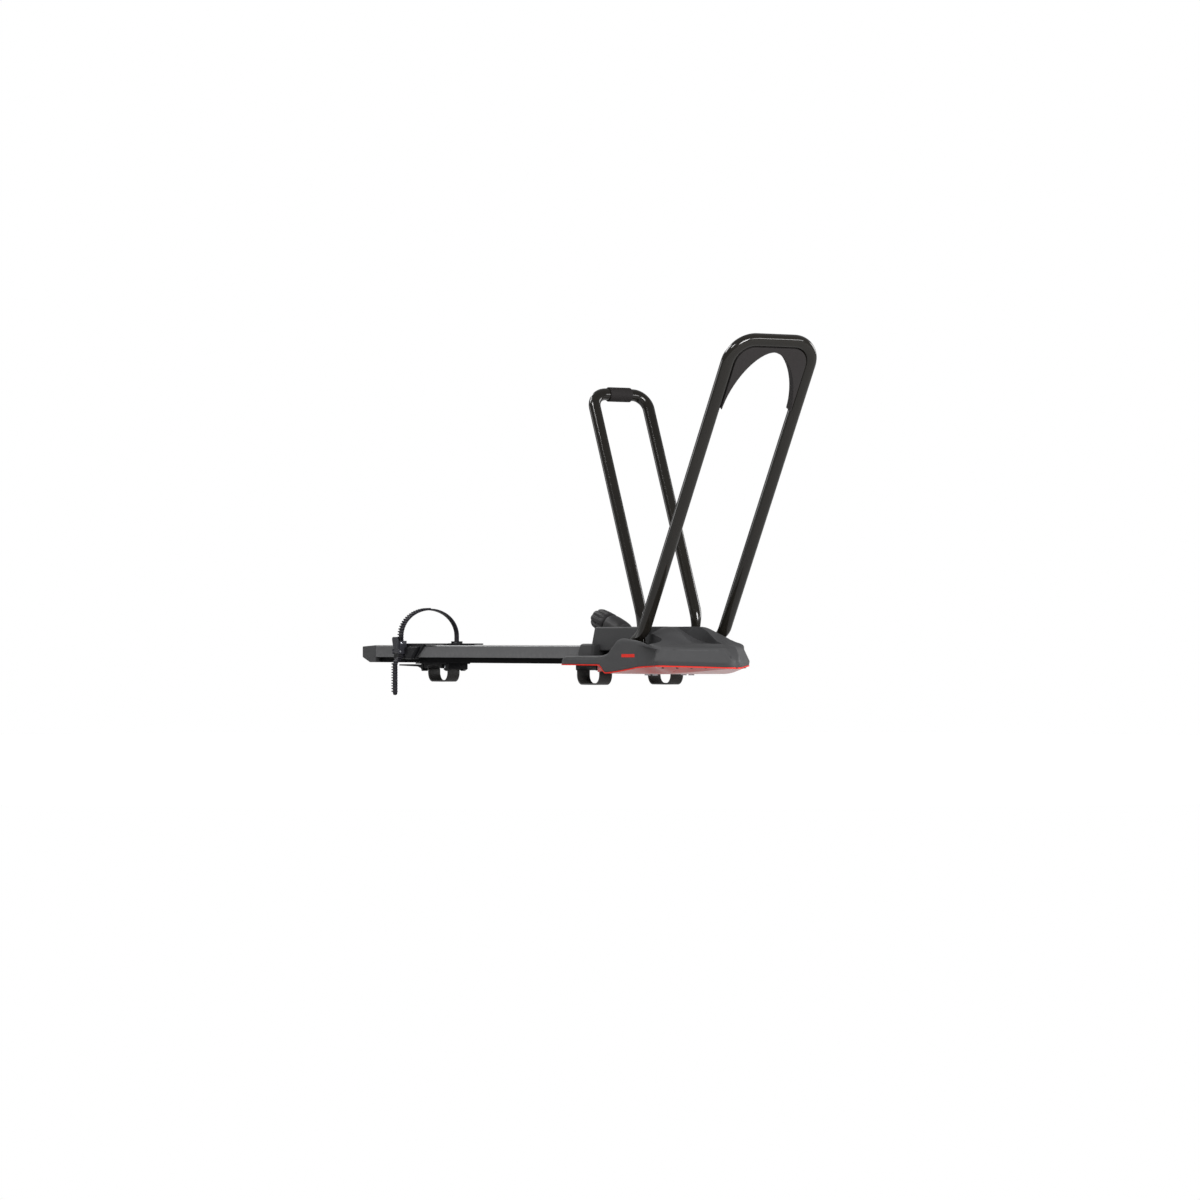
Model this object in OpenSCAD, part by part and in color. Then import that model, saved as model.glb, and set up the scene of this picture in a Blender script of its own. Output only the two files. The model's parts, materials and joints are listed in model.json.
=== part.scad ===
// Roof mounted carrier for one bicycle, which holds the bicycle by its tyres.
// Millimetres. +X is forward, +Y is the carrier's left, +Z is up.
// The origin is the middle of the front crossbar seat.

/* [Crossbars] */
// Width of the crossbars that the clamps take, front to back
bar_w = 80; // [74:1:84]
// Height of the crossbars that the clamps take
bar_h = 30; // [27:1:33]
// Distance between the two crossbar seats
bar_spacing = 766; // [700:1:780]
// Thickness of the rubber saddle under the head
saddle_t = 3; // [2.6:0.1:3.6]
// Width of the steel straps round the crossbars
strap_w = 27; // [22:1:28]
// Thickness of the steel straps
strap_t = 3; // [2.4:0.1:3.4]
// Distance of each front strap from the middle
strap_y = 79; // [78.5:0.1:79.5]

/* [Head] */
// Half width of the head beside the hoops
head_half = 104; // [103:0.5:108]
// Height of the flat tail
tail_z = 21; // [20.5:0.5:24]
// Height of the side lobes
lobe_z = 55; // [52:1:58]
// Height of the upper edge of the bow
bow_z = 39; // [36:1:42]
// Height of the middle block
block_z = 77; // [76:0.5:80]
// Half width of the middle block
block_half = 44; // [42.5:0.5:44.5]
// Length of the pointed bow
bow_len = 122; // [105:1:140]
// Wall thickness of the cover
wall = 3; // [2.4:0.1:3.2]

/* [Hoops] */
// Height of the hoop axle above the crossbar seat
pivot_z = 34; // [33:0.5:35]
// Diameter of the hoop axle
axle_d = 12; // [10:0.5:13]
// Half distance between the legs of the front hoop
front_half = 88; // [87.5:0.5:88]
// Length of the front hoop from the axle to the top bar
front_len = 678; // [640:1:740]
// Forward lean of the front hoop
front_lean = 31.5; // [29:0.5:33]
// Distance of the front legs ahead of the axle
front_offset = 28; // [27:0.5:30]
// Width of the front hoop tube
front_tube = 24; // [22:0.5:24]
// Bend radius of the front hoop, to the middle of the tube
front_bend = 47; // [40:1:50]
// Half distance between the legs of the rear hoop
rear_half = 60; // [59.5:0.5:60.5]
// Length of the rear hoop from the axle to the top bar
rear_len = 527; // [500:1:545]
// Backward lean of the rear hoop
rear_lean = 24; // [22:0.5:26]
// Distance of the rear legs ahead of the axle
rear_offset = 25; // [24:0.5:27]
// Diameter of the rear hoop tube
rear_tube = 23; // [20:0.5:23]
// Bend radius of the rear hoop, to the middle of the tube
rear_bend = 30; // [24:1:36]

/* [Tray] */
// Half width of the tray
tray_half = 56; // [54:0.5:56]
// Height of the grey tray section
tray_h = 25; // [23:0.5:26]
// Height of the black track under the tray
track_h = 11; // [10.5:0.1:12]
// Length of the tray section
tray_len = 918; // [910:1:1000]
// Length of the end cap
cap_len = 76; // [50:1:85]

/* [Wheel strap] */
// Distance of the strap behind the rear crossbar
strap_back = 66; // [55:1:75]
// Width of the wheel strap
band_w = 22; // [18:0.5:24]
// Thickness of the wheel strap
band_t = 3.5; // [2.5:0.1:3.6]
// Height of the strap arch above the tray
arch_h = 76; // [60:1:95]
// Length of strap that hangs below the tray
tail_drop = 104; // [60:1:115]

/* [Knob] */
// Upward tilt of the knob
knob_tilt = 15; // [13:0.5:16]
// Radius of the knob grip
grip_r = 22; // [19:0.5:24]
// Length of the knob grip
grip_len = 58; // [45:1:66]
// Diameter of the clamp screw
screw_d = 10; // [8:0.5:11]

/* [Hidden] */
$fn = 48;

// Clearances
gap = 0.3;
fit = 0.05;
far = 400;

// Levels
pan_t = 2.2;
edge_t = 1.9;
seat_z = saddle_t + pan_t;
tray_z = seat_z + track_h;
tray_top = tray_z + tray_h;
keel_top = seat_z - 15;
keel_z = keel_top - 2.8;
floor_t = 2.5;
floor_z = keel_z + floor_t;

// Stations along the carrier
tail_x = -(bar_w / 2 + 58);
tray_front = -(bar_w / 2 + 8);
tray_rear = tray_front - tray_len;
step_x = bar_w / 2 + 14;
keel_x = step_x + 30;
pivot_x = bar_w / 2 + 108;
bow_x = pivot_x + 122;
tip_x = bow_x + bow_len;
rear_x = -bar_spacing;
band_x = rear_x - strap_back;

// Bands round the crossbars
bar_clear = 1.3;
loop_x = bar_w / 2 + bar_clear;
loop_r = bar_h / 2 + bar_clear;
pin_r = 2.5;
eye_r = 5.5;
eye_x = bar_w / 2 + 7;
eye_z = -4;
hook_bend = 5;
hook_z = 5.5;
hook_len = 19.7;
hook_x = -loop_x - strap_t - hook_bend - hook_len;
hook_r = 3;
hook_top = hook_z + hook_bend + strap_t / 2;
hook_half = strap_w / 2 + 4;

// Knob and yoke
knob_x = -(bar_w / 2 - 24);
knob_z = 65;
scoop_x = knob_x + 4;
scoop_half = 31;
collar_r = 9;
flange_r = 13;
flange_t = 4;
neck_len = 54;
yoke_x = 0;
yoke_t = 10;
yoke_z = knob_z - (yoke_x + yoke_t / 2 - knob_x) * tan(knob_tilt);
tine_z = hook_top - hook_r / 2;
tine_t = 3.5;

// Tray socket in the head
socket_half = tray_half + 0.4;
sleeve_half = socket_half + wall;
sleeve_top = tray_top + gap + wall;

// Axle stack across the carrier
foot_t = 12;
axle_r = axle_d / 2;
bush_r = axle_r + 2;
foot_eye_r = 14;
bracket_y = 70;
bracket_t = 5.7;
nut_t = 5;
axle_half = front_half + foot_t / 2 + gap + nut_t;
slot_out = head_half - wall - 0.5;
slot_in = block_half + 1;
slot_rear = pivot_x - 58;
slot_front = pivot_x + 67;
slot_z = 28;
recess_in = slot_in + 28;
recess_low = lobe_z - 12;
recess_r = (slot_out - recess_in) / 2;
recess_x = slot_front + 23;

// Wheels that rest on the carrier
tyre_r = 342;
wheel_x = pivot_x + 128;
trough_low = 44;
wheel_z = tyre_r + trough_low;
trough_half = 30;

// One row for each station of the head: x, half width, lower edge, shoulder height, half width of the top,
// top height, keel half width, keel height, and how far the side leans in from the lower edge to the shoulder
tip_half = 16;
bow_mid = 22;
nose_len = 26;
side_draft = 1.2;
bow_draft = 15.5;
nose_x = tip_x - nose_len;
function bow_half(x) = head_half - 2 - (head_half - 2 - tip_half) * (x - bow_x) / (bow_len - 8);
bow_mid_half = bow_half(bow_x + bow_mid);
head_rows = [
    [tail_x, head_half - 8, seat_z, tail_z - 6, 60, tail_z - 5.5, head_half - 14, saddle_t, side_draft],
    [tail_x + 22, head_half - 2, seat_z, tail_z, 60, tail_z + 0.5, head_half - 10, saddle_t, side_draft],
    [step_x, head_half - 2, seat_z, tail_z + 1, 60, tail_z + 1.5, head_half - 10, saddle_t, side_draft],
    [keel_x, head_half, keel_top, tail_z + 5, 60, tail_z + 6, head_half - 24, keel_z, side_draft],
    [pivot_x - 41, head_half, keel_top + 1.3, lobe_z - 15, 60, lobe_z - 13, head_half - 24, keel_z,
        side_draft],
    [pivot_x - 21, head_half, keel_top + 2.8, lobe_z - 3, 52, lobe_z + 6, head_half - 24, keel_z, side_draft],
    [pivot_x - 2, head_half, keel_top + 4.6, lobe_z, block_half, block_z, head_half - 24, keel_z, side_draft],
    [pivot_x + 31, head_half, keel_top + 8, lobe_z - 2, block_half, block_z, head_half - 24, keel_z,
        side_draft],
    [pivot_x + 57, head_half, keel_top + 11, lobe_z - 5, block_half, block_z - 0.5, head_half - 26, keel_z,
        side_draft],
    [pivot_x + 87, head_half - 0.5, keel_top + 12.8, lobe_z - 9.5, 42, block_z - 9, head_half - 32, keel_z,
        side_draft],
    [bow_x - 14, head_half - 1, seat_z - 1.6, bow_z + 3.5, 41, bow_z + 18, head_half - 38, keel_z + 0.6,
        2.5 * side_draft],
    [bow_x, head_half - 2, seat_z - 1.2, bow_z + 1, 40, bow_z + 11, head_half - 42, keel_z + 1.5, bow_draft],
    [bow_x + bow_mid, bow_mid_half, seat_z - 0.7, bow_z, 34, bow_z + 5.5, bow_mid_half - 34, keel_z + 3,
        bow_draft],
    [nose_x, bow_half(nose_x), seat_z - 0.3, bow_z - 1, 9, bow_z - 0.3, bow_half(nose_x) / 2, seat_z - 6.5,
        bow_draft],
    [tip_x - 8, tip_half, seat_z - 0.2, bow_z - 14, 5, bow_z - 13.5, tip_half / 2 - 1, seat_z - 4.5,
        bow_draft / 2],
    [tip_x, 7, seat_z, seat_z + 7, 3, seat_z + 7.3, 3, seat_z - 3, 2 * side_draft]];
row_count = len(head_rows);
pan_first = 3;
pan_last = row_count - 4;
inner_last = row_count - 3;

function cover_section(r, inset) =
    let (
        drop = inset > 0 ? 30 : 0,
        half = r[1] - inset + r[8] * drop / (r[3] - r[2]),
        low = r[2] - drop,
        side = r[1] - inset - r[8],
        top = r[4] - inset / 2)
    [[r[0], -half, low], [r[0], -side, r[3] - inset], [r[0], -top, r[5] - inset],
        [r[0], top, r[5] - inset], [r[0], side, r[3] - inset], [r[0], half, low]];
function pan_section(r) =
    [[r[0], -r[6], r[7]], [r[0], -r[1], r[2] - edge_t], [r[0], -r[1], r[2]],
        [r[0], r[1], r[2]], [r[0], r[1], r[2] - edge_t], [r[0], r[6], r[7]]];
lip = 6;
function pan_hollow_section(r) =
    [[r[0], -r[6] + 2, r[7] + floor_t], [r[0], -r[1] + lip, r[2]], [r[0], -r[1] + lip, r[2] + 4],
        [r[0], r[1] - lip, r[2] + 4], [r[0], r[1] - lip, r[2]], [r[0], r[6] - 2, r[7] + floor_t]];
function moved_row(r, x) = [for (i = [0:len(r) - 1]) i == 0 ? x : r[i]];
function inner_rows(inset) = [for (i = [0:inner_last])
    i == 0 ? moved_row(head_rows[i], tail_x + inset) : head_rows[i]];
function arc(cx, cy, r, a0, a1, n) = [for (i = [0:n]) let (a = a0 + (a1 - a0) * i / n)
    [cx + r * cos(a), cy + r * sin(a)]];
// The upper half of an oval, from right to left: a power of 2 is an ellipse, and less has slimmer shoulders
function pad_arch(cy, rx, ry, power, n) = [for (i = [0:n]) let (a = 180 * i / n)
    [rx * sign(cos(a)) * pow(abs(cos(a)), 2 / power), cy + ry * pow(abs(sin(a)), 2 / power)]];
function oval(cx, cy, rx, ry, a0, a1, n) = [for (i = [0:n]) let (a = a0 + (a1 - a0) * i / n)
    [cx + rx * cos(a), cy + ry * sin(a)]];

// A solid through sections that all have the same number of points
module loft(sections) {
    n = len(sections[0]);
    m = len(sections);
    points = [for (s = sections) for (p = s) p];
    sides = [for (k = [0:m - 2]) for (j = [0:n - 1])
        let (a = k * n + j, b = k * n + (j + 1) % n)
        each [[a, b, b + n], [a, b + n, a + n]]];
    first = [[for (j = [n - 1:-1:0]) j]];
    last = [[for (j = [0:n - 1]) (m - 1) * n + j]];
    polyhedron(points, concat(sides, first, last));
}
module prism_y(points, y0, y1) {
    translate([0, y1, 0]) rotate([90, 0, 0]) linear_extrude(y1 - y0) polygon(points);
}
module prism_x(points, x0, x1) {
    translate([x0, 0, 0]) rotate([90, 0, 90]) linear_extrude(x1 - x0) polygon(points);
}
module box(low, high) {
    translate(low) cube(high - low);
}
module rod_x(y, z, x0, x1, r) {
    translate([x0, y, z]) rotate([0, 90, 0]) cylinder(h = x1 - x0, r = r);
}
module rod_y(x, z, y0, y1, r) {
    translate([x, y1, z]) rotate([90, 0, 0]) cylinder(h = y1 - y0, r = r);
}
module rod_z(x, y, z0, z1, r) {
    translate([x, y, z0]) cylinder(h = z1 - z0, r = r);
}
module ring_y(x, z, y0, y1, r, hole) {
    difference() {
        rod_y(x, z, y0, y1, r);
        rod_y(x, z, y0 - 1, y1 + 1, hole);
    }
}
module both_sides() {
    children();
    mirror([0, 1, 0]) children();
}
// Places what is drawn along +Z on the knob's axis, with +Z pointing backward and up
module on_knob_axis() {
    translate([knob_x, 0, knob_z]) rotate([0, -90 + knob_tilt, 0]) children();
}

// Head

tray_bolt_x = tail_x + 28;
tray_bolt_y = 39;
bolt_r = 3;
bracket_bolt_x = 14;
bracket_bolt_y = 40;
lug_in = strap_w / 2 + gap;
lug_t = 3.6;
screw_r = 2.6;
screw_in = 9;
screw_end = 30;
screw_stations = [0.05, 0.3, 0.55, 0.8];

module at_pan_screws() {
    for (s = screw_stations)
        let (x = bow_x + s * (bow_len - screw_end))
            both_sides() translate([x, bow_half(x) - screw_in, 0]) children();
}
module strap_lugs() {
    lug = [[loop_x + 0.5, saddle_t], [step_x + 6, saddle_t], [step_x + 6, eye_z - 2],
        [eye_x + 3, eye_z - eye_r],
        [loop_x + 0.5, eye_z - eye_r]];
    both_sides() {
        prism_y(lug, strap_y + lug_in, strap_y + lug_in + lug_t);
        prism_y(lug, strap_y - lug_in - lug_t, strap_y - lug_in);
    }
}
module head_pan() {
    color([0.78, 0.16, 0.12]) difference() {
        union() {
            loft([for (r = head_rows) pan_section(r)]);
            strap_lugs();
        }
        loft([for (i = [pan_first:pan_last])
            pan_hollow_section(i == pan_first ? moved_row(head_rows[i], keel_x + 4)
            : head_rows[i])]);
        both_sides() {
            box([hook_x - 5, strap_y - hook_half - 0.6, -far],
                [-loop_x + 0.6, strap_y + hook_half + 0.6, far]);
            rod_z(tray_bolt_x, tray_bolt_y, -far, far, bolt_r + fit);
            for (side = [-1, 1])
                rod_z(pivot_x + side * bracket_bolt_x, bracket_bolt_y, -far, far, bolt_r + fit);
        }
        rod_y(eye_x, eye_z, -far, far, pin_r + fit);
        at_pan_screws() rod_z(0, 0, -far, far, screw_r + fit);
    }
}
module pan_screws() {
    color([0.12, 0.12, 0.13]) at_pan_screws() rod_z(0, 0, seat_z - 7, seat_z + 3, screw_r);
}
module block_shape(inset) {
    profile = [[tail_x + 23 + inset * 1.3, sleeve_top - wall + inset], [tail_x + 36 + inset, block_z - inset],
        [pivot_x + 20, block_z - inset], [pivot_x + 20, 12 - inset * 3],
        [tray_front + 8 + inset, 12 - inset * 3],
        [tray_front + 8 + inset, sleeve_top - wall + inset]];
    prism_y(profile, -block_half + inset, block_half - inset);
}
module sleeve_shape() {
    profile = [[tail_x - 2, seat_z], [tail_x - 4, 28], [tail_x + 6, sleeve_top], [tray_front + 5, sleeve_top],
        [tray_front + 5, seat_z]];
    prism_y(profile, -sleeve_half, sleeve_half);
}
module scoop(extra) {
    box([tail_x - 10, -scoop_half - extra, sleeve_top - extra], [scoop_x + extra, scoop_half + extra, far]);
}
module trough(extra) {
    rod_y(wheel_x, wheel_z, -trough_half - extra, trough_half + extra, tyre_r + extra, $fn = 96);
}
module hoop_slots() {
    both_sides() {
        box([slot_rear, slot_in, slot_z], [slot_front, slot_out, far]);
        box([slot_front - 1, recess_in, recess_low], [recess_x + 1, slot_out, far]);
        rod_z(recess_x, recess_in + recess_r, recess_low, far, recess_r);
    }
}
module slot_walls() {
    difference() {
        intersection() {
            loft([for (r = head_rows) cover_section(r, 0)]);
            both_sides() {
                box([slot_rear - wall, slot_in - wall, seat_z + 3], [slot_front + wall, slot_in, far]);
                box([slot_front, slot_in - wall, seat_z + 3], [slot_front + wall, head_half - 1, recess_low]);
                box([recess_x - wall, slot_in - wall, recess_low - wall],
                    [recess_x + recess_r + 2 * wall, head_half - 1, far]);
                box([slot_front, slot_in - wall, recess_low - wall],
                    [recess_x + recess_r + wall, head_half - 1, recess_low]);
            }
        }
        hoop_slots();
        trough(0);
        rod_y(pivot_x, pivot_z, -far, far, bush_r + 2);
    }
}
module head_cover() {
    color([0.30, 0.30, 0.31]) {
        difference() {
            union() {
                loft([for (r = head_rows) cover_section(r, 0)]);
                block_shape(0);
                sleeve_shape();
            }
            difference() {
                union() {
                    loft([for (r = inner_rows(wall)) cover_section(r, wall)]);
                    block_shape(wall);
                }
                sleeve_shape();
                scoop(wall);
                trough(wall);
            }
            box([tail_x - 20, -socket_half, seat_z - 1], [tray_front + gap, socket_half, tray_top + gap]);
            scoop(0);
            trough(0);
            hoop_slots();
            on_knob_axis() translate([0, 0, -20]) cylinder(h = 40, r = collar_r + fit);
        }
        slot_walls();
    }
}
module pivot_bracket() {
    base_t = 4;
    base_x = 24;
    wall_x = 15;
    color([0.55, 0.56, 0.58]) difference() {
        union() {
            box([pivot_x - base_x, -bracket_y - bracket_t, floor_z],
                [pivot_x + base_x, bracket_y + bracket_t, floor_z + base_t]);
            both_sides() {
                box([pivot_x - wall_x, bracket_y, floor_z],
                    [pivot_x + wall_x, bracket_y + bracket_t, pivot_z]);
                rod_y(pivot_x, pivot_z, bracket_y, bracket_y + bracket_t, wall_x);
            }
        }
        rod_y(pivot_x, pivot_z, -far, far, axle_r + fit);
        both_sides() for (side = [-1, 1])
            rod_z(pivot_x + side * bracket_bolt_x, bracket_bolt_y, -far, far, bolt_r + fit);
    }
}
module bracket_bolts() {
    head_r = 5.5;
    color([0.5, 0.5, 0.52]) both_sides() for (side = [-1, 1])
        translate([pivot_x + side * bracket_bolt_x, bracket_bolt_y, 0]) {
        rod_z(0, 0, keel_z - 3, keel_z, head_r);
        rod_z(0, 0, keel_z - 1, floor_z + 8, bolt_r);
        translate([0, 0, floor_z + 4]) cylinder(h = 4, r = head_r, $fn = 6);
    }
}
module hoop_axle() {
    color([0.62, 0.63, 0.65]) rod_y(pivot_x, pivot_z, -axle_half, axle_half, axle_r);
}
module axle_nuts() {
    nut_r = axle_r + 4;
    color([0.5, 0.5, 0.52]) both_sides() difference() {
        translate([pivot_x, axle_half, pivot_z]) rotate([90, 0, 0]) cylinder(h = nut_t, r = nut_r, $fn = 6);
        rod_y(pivot_x, pivot_z, 0, far, axle_r + fit);
    }
}
module axle_spacers() {
    rear_in = rear_half - foot_t / 2 - gap;
    rear_out = rear_half + foot_t / 2 + gap;
    front_in = front_half - foot_t / 2 - gap;
    color([0.25, 0.25, 0.26]) {
        ring_y(pivot_x, pivot_z, -rear_in, rear_in, axle_r + 3, axle_r + fit);
        both_sides() {
            ring_y(pivot_x, pivot_z, rear_out, bracket_y, axle_r + 3, axle_r + fit);
            ring_y(pivot_x, pivot_z, bracket_y + bracket_t, front_in, axle_r + 3, axle_r + fit);
        }
    }
}
module saddle(half, thick) {
    flat = bar_w / 4;
    side = bar_w / 2 - 0.5;
    prism_y([[-flat, 0], [-side + 1.5, -7], [-side, -5], [-side, thick], [side, thick], [side, -5],
        [side - 1.5, -7], [flat, 0]],
        -half, half);
}
module front_bar_pad() {
    color([0.10, 0.10, 0.11]) saddle(head_half - 6, saddle_t);
}
module strap_pins() {
    color([0.6, 0.6, 0.62]) both_sides()
        rod_y(eye_x, eye_z, strap_y - lug_in - lug_t, strap_y + lug_in + lug_t, pin_r);
}
module knob_collar() {
    color([0.15, 0.15, 0.16]) on_knob_axis() difference() {
        union() {
            translate([0, 0, -10]) cylinder(h = 10 + flange_t, r = collar_r);
            cylinder(h = flange_t, r = flange_r);
        }
        translate([0, 0, -20]) cylinder(h = 40, r = screw_d / 2 + fit);
    }
}

// Tray

module tray_channel() {
    t = 3;
    outer = [[-tray_half, tray_z], [-tray_half, tray_top - 2.5], [-tray_half + 2.5, tray_top],
        [-45, tray_top],
        [-38, tray_top - 3], [-12, tray_top - 4], [-9, tray_top - 10], [9, tray_top - 10], [12, tray_top - 4],
        [38, tray_top - 3], [45, tray_top], [tray_half - 2.5, tray_top], [tray_half, tray_top - 2.5],
        [tray_half, tray_z]];
    chamber = [[t / 2, tray_z + t], [t / 2, tray_top - 10 - t], [11, tray_top - 10 - t],
        [14, tray_top - 4 - t],
        [38.5, tray_top - 3 - t], [45.5, tray_top - t], [tray_half - t, tray_top - t],
        [tray_half - t, tray_z + t]];
    color([0.40, 0.40, 0.41]) difference() {
        prism_x(outer, tray_rear, tray_front);
        both_sides() {
            prism_x(chamber, tray_rear - 1, tray_front + 1);
            rod_z(tray_bolt_x, tray_bolt_y, -far, tray_top - 8, bolt_r + fit);
        }
    }
}
track_half = 46;
track_in = 32;
track_slot = 13;
track_lip = 3;
module tray_track() {
    outer = [[-track_half, seat_z], [-track_half, tray_z], [track_half, tray_z], [track_half, seat_z],
        [track_slot, seat_z], [track_slot, seat_z + track_lip], [track_in, seat_z + track_lip],
        [track_in, tray_z - 2],
        [-track_in, tray_z - 2], [-track_in, seat_z + track_lip], [-track_slot, seat_z + track_lip],
        [-track_slot, seat_z]];
    color([0.09, 0.09, 0.10]) difference() {
        prism_x(outer, tray_rear, tray_front);
        both_sides() rod_z(tray_bolt_x, tray_bolt_y, -far, far, bolt_r + fit);
    }
}
module tray_bolts() {
    head_r = 5.5;
    nut_h = 4;
    color([0.5, 0.5, 0.52]) both_sides() translate([tray_bolt_x, tray_bolt_y, 0]) {
        rod_z(0, 0, saddle_t - 3, saddle_t, head_r);
        rod_z(0, 0, saddle_t - 1, tray_z + 3 + nut_h, bolt_r);
        translate([0, 0, tray_z + 3]) cylinder(h = nut_h, r = head_r, $fn = 6);
    }
}
module end_cap() {
    end_x = tray_rear - cap_len;
    side = [[tray_rear, seat_z], [tray_rear, tray_top], [end_x + 8, tray_top - 3], [end_x, tray_top - 7],
        [end_x + 2, tray_z + 3], [tray_rear - cap_len * 0.4, seat_z]];
    plan = [[tray_rear, -tray_half], [tray_rear, tray_half], [end_x + 14, tray_half], [end_x, tray_half - 14],
        [end_x, -tray_half + 14], [end_x + 14, -tray_half]];
    color([0.30, 0.30, 0.31]) difference() {
        intersection() {
            prism_y(side, -tray_half, tray_half);
            linear_extrude(tray_top) polygon(plan);
        }
        box([tray_rear - cap_len + 24, -tray_half + 4, tray_z + 3],
            [tray_rear + 1, tray_half - 4, tray_top - 5]);
    }
}

// Hoops

module hoop_frame(lean) {
    translate([pivot_x, 0, pivot_z]) rotate([0, lean, 0]) children();
}
// Tube section: the first size is across the hoop's plane, the second is in it
module tube_section(d, across) {
    intersection() {
        circle(d = d);
        square([across, d + 1], center = true);
    }
}
module hoop_path(half, length, bend, offset, start, d, across) {
    translate([offset, 0, 0]) {
        both_sides() {
            translate([0, half, start]) linear_extrude(length - bend - start) tube_section(d, across);
            translate([0, half - bend, length - bend]) rotate([0, 90, 0]) rotate([0, 0, 90])
                rotate_extrude(angle = 90) translate([bend, 0]) rotate([0, 0, 90]) tube_section(d, across);
        }
        translate([0, half - bend, length]) rotate([90, 0, 0]) linear_extrude(2 * (half - bend))
            tube_section(d, across);
    }
}
module hoop_tube(half, length, bend, offset, start, d, across) {
    difference() {
        hoop_path(half, length, bend, offset, start, d, across);
        hoop_path(half, length, bend, offset, start - 1, d - 2 * tube_wall, across - 2 * tube_wall);
    }
}
// The middle line of a foot, from the axle to the leg, and its outline
foot_steps = 8;
foot_lap = 10;
function foot_point(i, offset, start) =
    let (u = i / foot_steps)
    [offset * (3 * u * u - 2 * u * u * u), start * u];
function foot_side(offset, start, r) = [for (i = [0:foot_steps])
    let (
        before = foot_point(max(i - 1, 0), offset, start),
        after = foot_point(min(i + 1, foot_steps), offset, start),
        d = (after - before) / norm(after - before))
    foot_point(i, offset, start) + r * [d[1], -d[0]]];
function backward(points) = [for (i = [len(points) - 1:-1:0]) points[i]];
module hoop_feet(offset, start, r, half) {
    outline = concat(foot_side(offset, start, r),
        [[offset + r, start + foot_lap], [offset - r, start + foot_lap]],
        backward(foot_side(offset, start, -r)));
    both_sides() difference() {
        union() {
            prism_y(outline, half - foot_t / 2, half + foot_t / 2);
            rod_y(0, 0, half - foot_t / 2, half + foot_t / 2, foot_eye_r);
        }
        rod_y(0, 0, half - foot_t, half + foot_t, bush_r + fit);
    }
}
front_across = front_tube - 4;
tube_wall = 1.8;
front_start = 66;
rear_start = 72;
rear_pad_half = 24;
rear_pad_t = 2.5;
module front_hoop() {
    color([0.07, 0.06, 0.06]) hoop_frame(front_lean) {
        hoop_tube(front_half, front_len, front_bend, front_offset, front_start, front_tube, front_across);
        hoop_feet(front_offset, front_start, front_across / 2 - 1, front_half);
    }
}
module front_hoop_pad() {
    in = front_half - front_tube / 2 - fit;
    top = front_len - front_tube / 2 - fit;
    bend_in = front_bend - front_tube / 2 - fit;
    reach = 140;
    low = front_len - reach;
    web = 9;
    end_t = 2.5;
    end_slant = 2;
    arch_power = 1.75;
    outline = concat(
        [[-in, low]],
        arc(-in + bend_in, top - bend_in, bend_in, 180, 90, 8),
        arc(in - bend_in, top - bend_in, bend_in, 90, 0, 8),
        [[in, low]],
        pad_arch(low - end_slant, in - end_t, top - web - low + end_slant, arch_power, 32));
    thick = front_across / 2 - 1.5;
    color([0.13, 0.13, 0.14]) hoop_frame(front_lean)
        prism_x(outline, front_offset - thick, front_offset + thick);
}
module hoop_bushes(half) {
    both_sides() ring_y(0, 0, half - foot_t / 2, half + foot_t / 2, bush_r, axle_r + fit);
}
module front_hoop_bushes() {
    color([0.75, 0.74, 0.70]) hoop_frame(front_lean) hoop_bushes(front_half);
}
module rear_hoop() {
    color([0.07, 0.06, 0.06]) hoop_frame(-rear_lean) {
        hoop_tube(rear_half, rear_len, rear_bend, rear_offset, rear_start, rear_tube, rear_tube);
        hoop_feet(rear_offset, rear_start, rear_tube / 2 - 1, rear_half);
    }
}
module rear_hoop_pad() {
    color([0.13, 0.13, 0.14]) hoop_frame(-rear_lean)
        ring_y(rear_offset, rear_len, -rear_pad_half, rear_pad_half, rear_tube / 2 + rear_pad_t,
            rear_tube / 2 + fit);
}
module rear_hoop_bushes() {
    color([0.75, 0.74, 0.70]) hoop_frame(-rear_lean) hoop_bushes(rear_half);
}

// Knob, screw and yoke

module knob_grip() {
    lobes = 9;
    lobe_r = 5;
    neck_start = flange_t + gap;
    grip_start = neck_len;
    color([0.27, 0.27, 0.28]) on_knob_axis() difference() {
        union() {
            translate([0, 0, neck_start])
                cylinder(h = neck_len - neck_start, r1 = screw_d / 2 + 4.5, r2 = grip_r - 5);
            translate([0, 0, grip_start]) linear_extrude(grip_len) union() {
                circle(r = grip_r - 3);
                for (i = [0:lobes - 1])
                    rotate(i * 360 / lobes) translate([grip_r - lobe_r, 0]) circle(r = lobe_r);
            }
            translate([0, 0, grip_start + grip_len]) cylinder(h = 4, r1 = grip_r - 4, r2 = grip_r - 9);
        }
        translate([0, 0, -1]) cylinder(h = neck_len + 21, r = screw_d / 2 + fit);
    }
}
module knob_screw() {
    inner_end = -48;
    color([0.6, 0.6, 0.62]) on_knob_axis() translate([0, 0, inner_end])
        cylinder(h = neck_len + 18 - inner_end, r = screw_d / 2);
}
module clamp_yoke() {
    post_half = 14;
    beam_top = tail_z - wall - 0.7;
    beam_low = tine_z - 0.5;
    notch_x = hook_x + hook_r + gap;
    beam_half = strap_y + lug_in + tine_t;
    color([0.55, 0.56, 0.58]) difference() {
        union() {
            box([yoke_x, -post_half, beam_low], [yoke_x + yoke_t, post_half, yoke_z + screw_d / 2 + 6]);
            box([yoke_x, -beam_half, beam_low], [yoke_x + yoke_t, beam_half, beam_top]);
            both_sides() for (y = [strap_y - lug_in - tine_t, strap_y + lug_in])
                box([notch_x, y, tine_z], [yoke_x + 1, y + tine_t, tine_z + 4]);
        }
        on_knob_axis() translate([0, 0, -80]) cylinder(h = 100, r = screw_d / 2 + fit);
    }
}

// Bands round the crossbars

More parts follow.
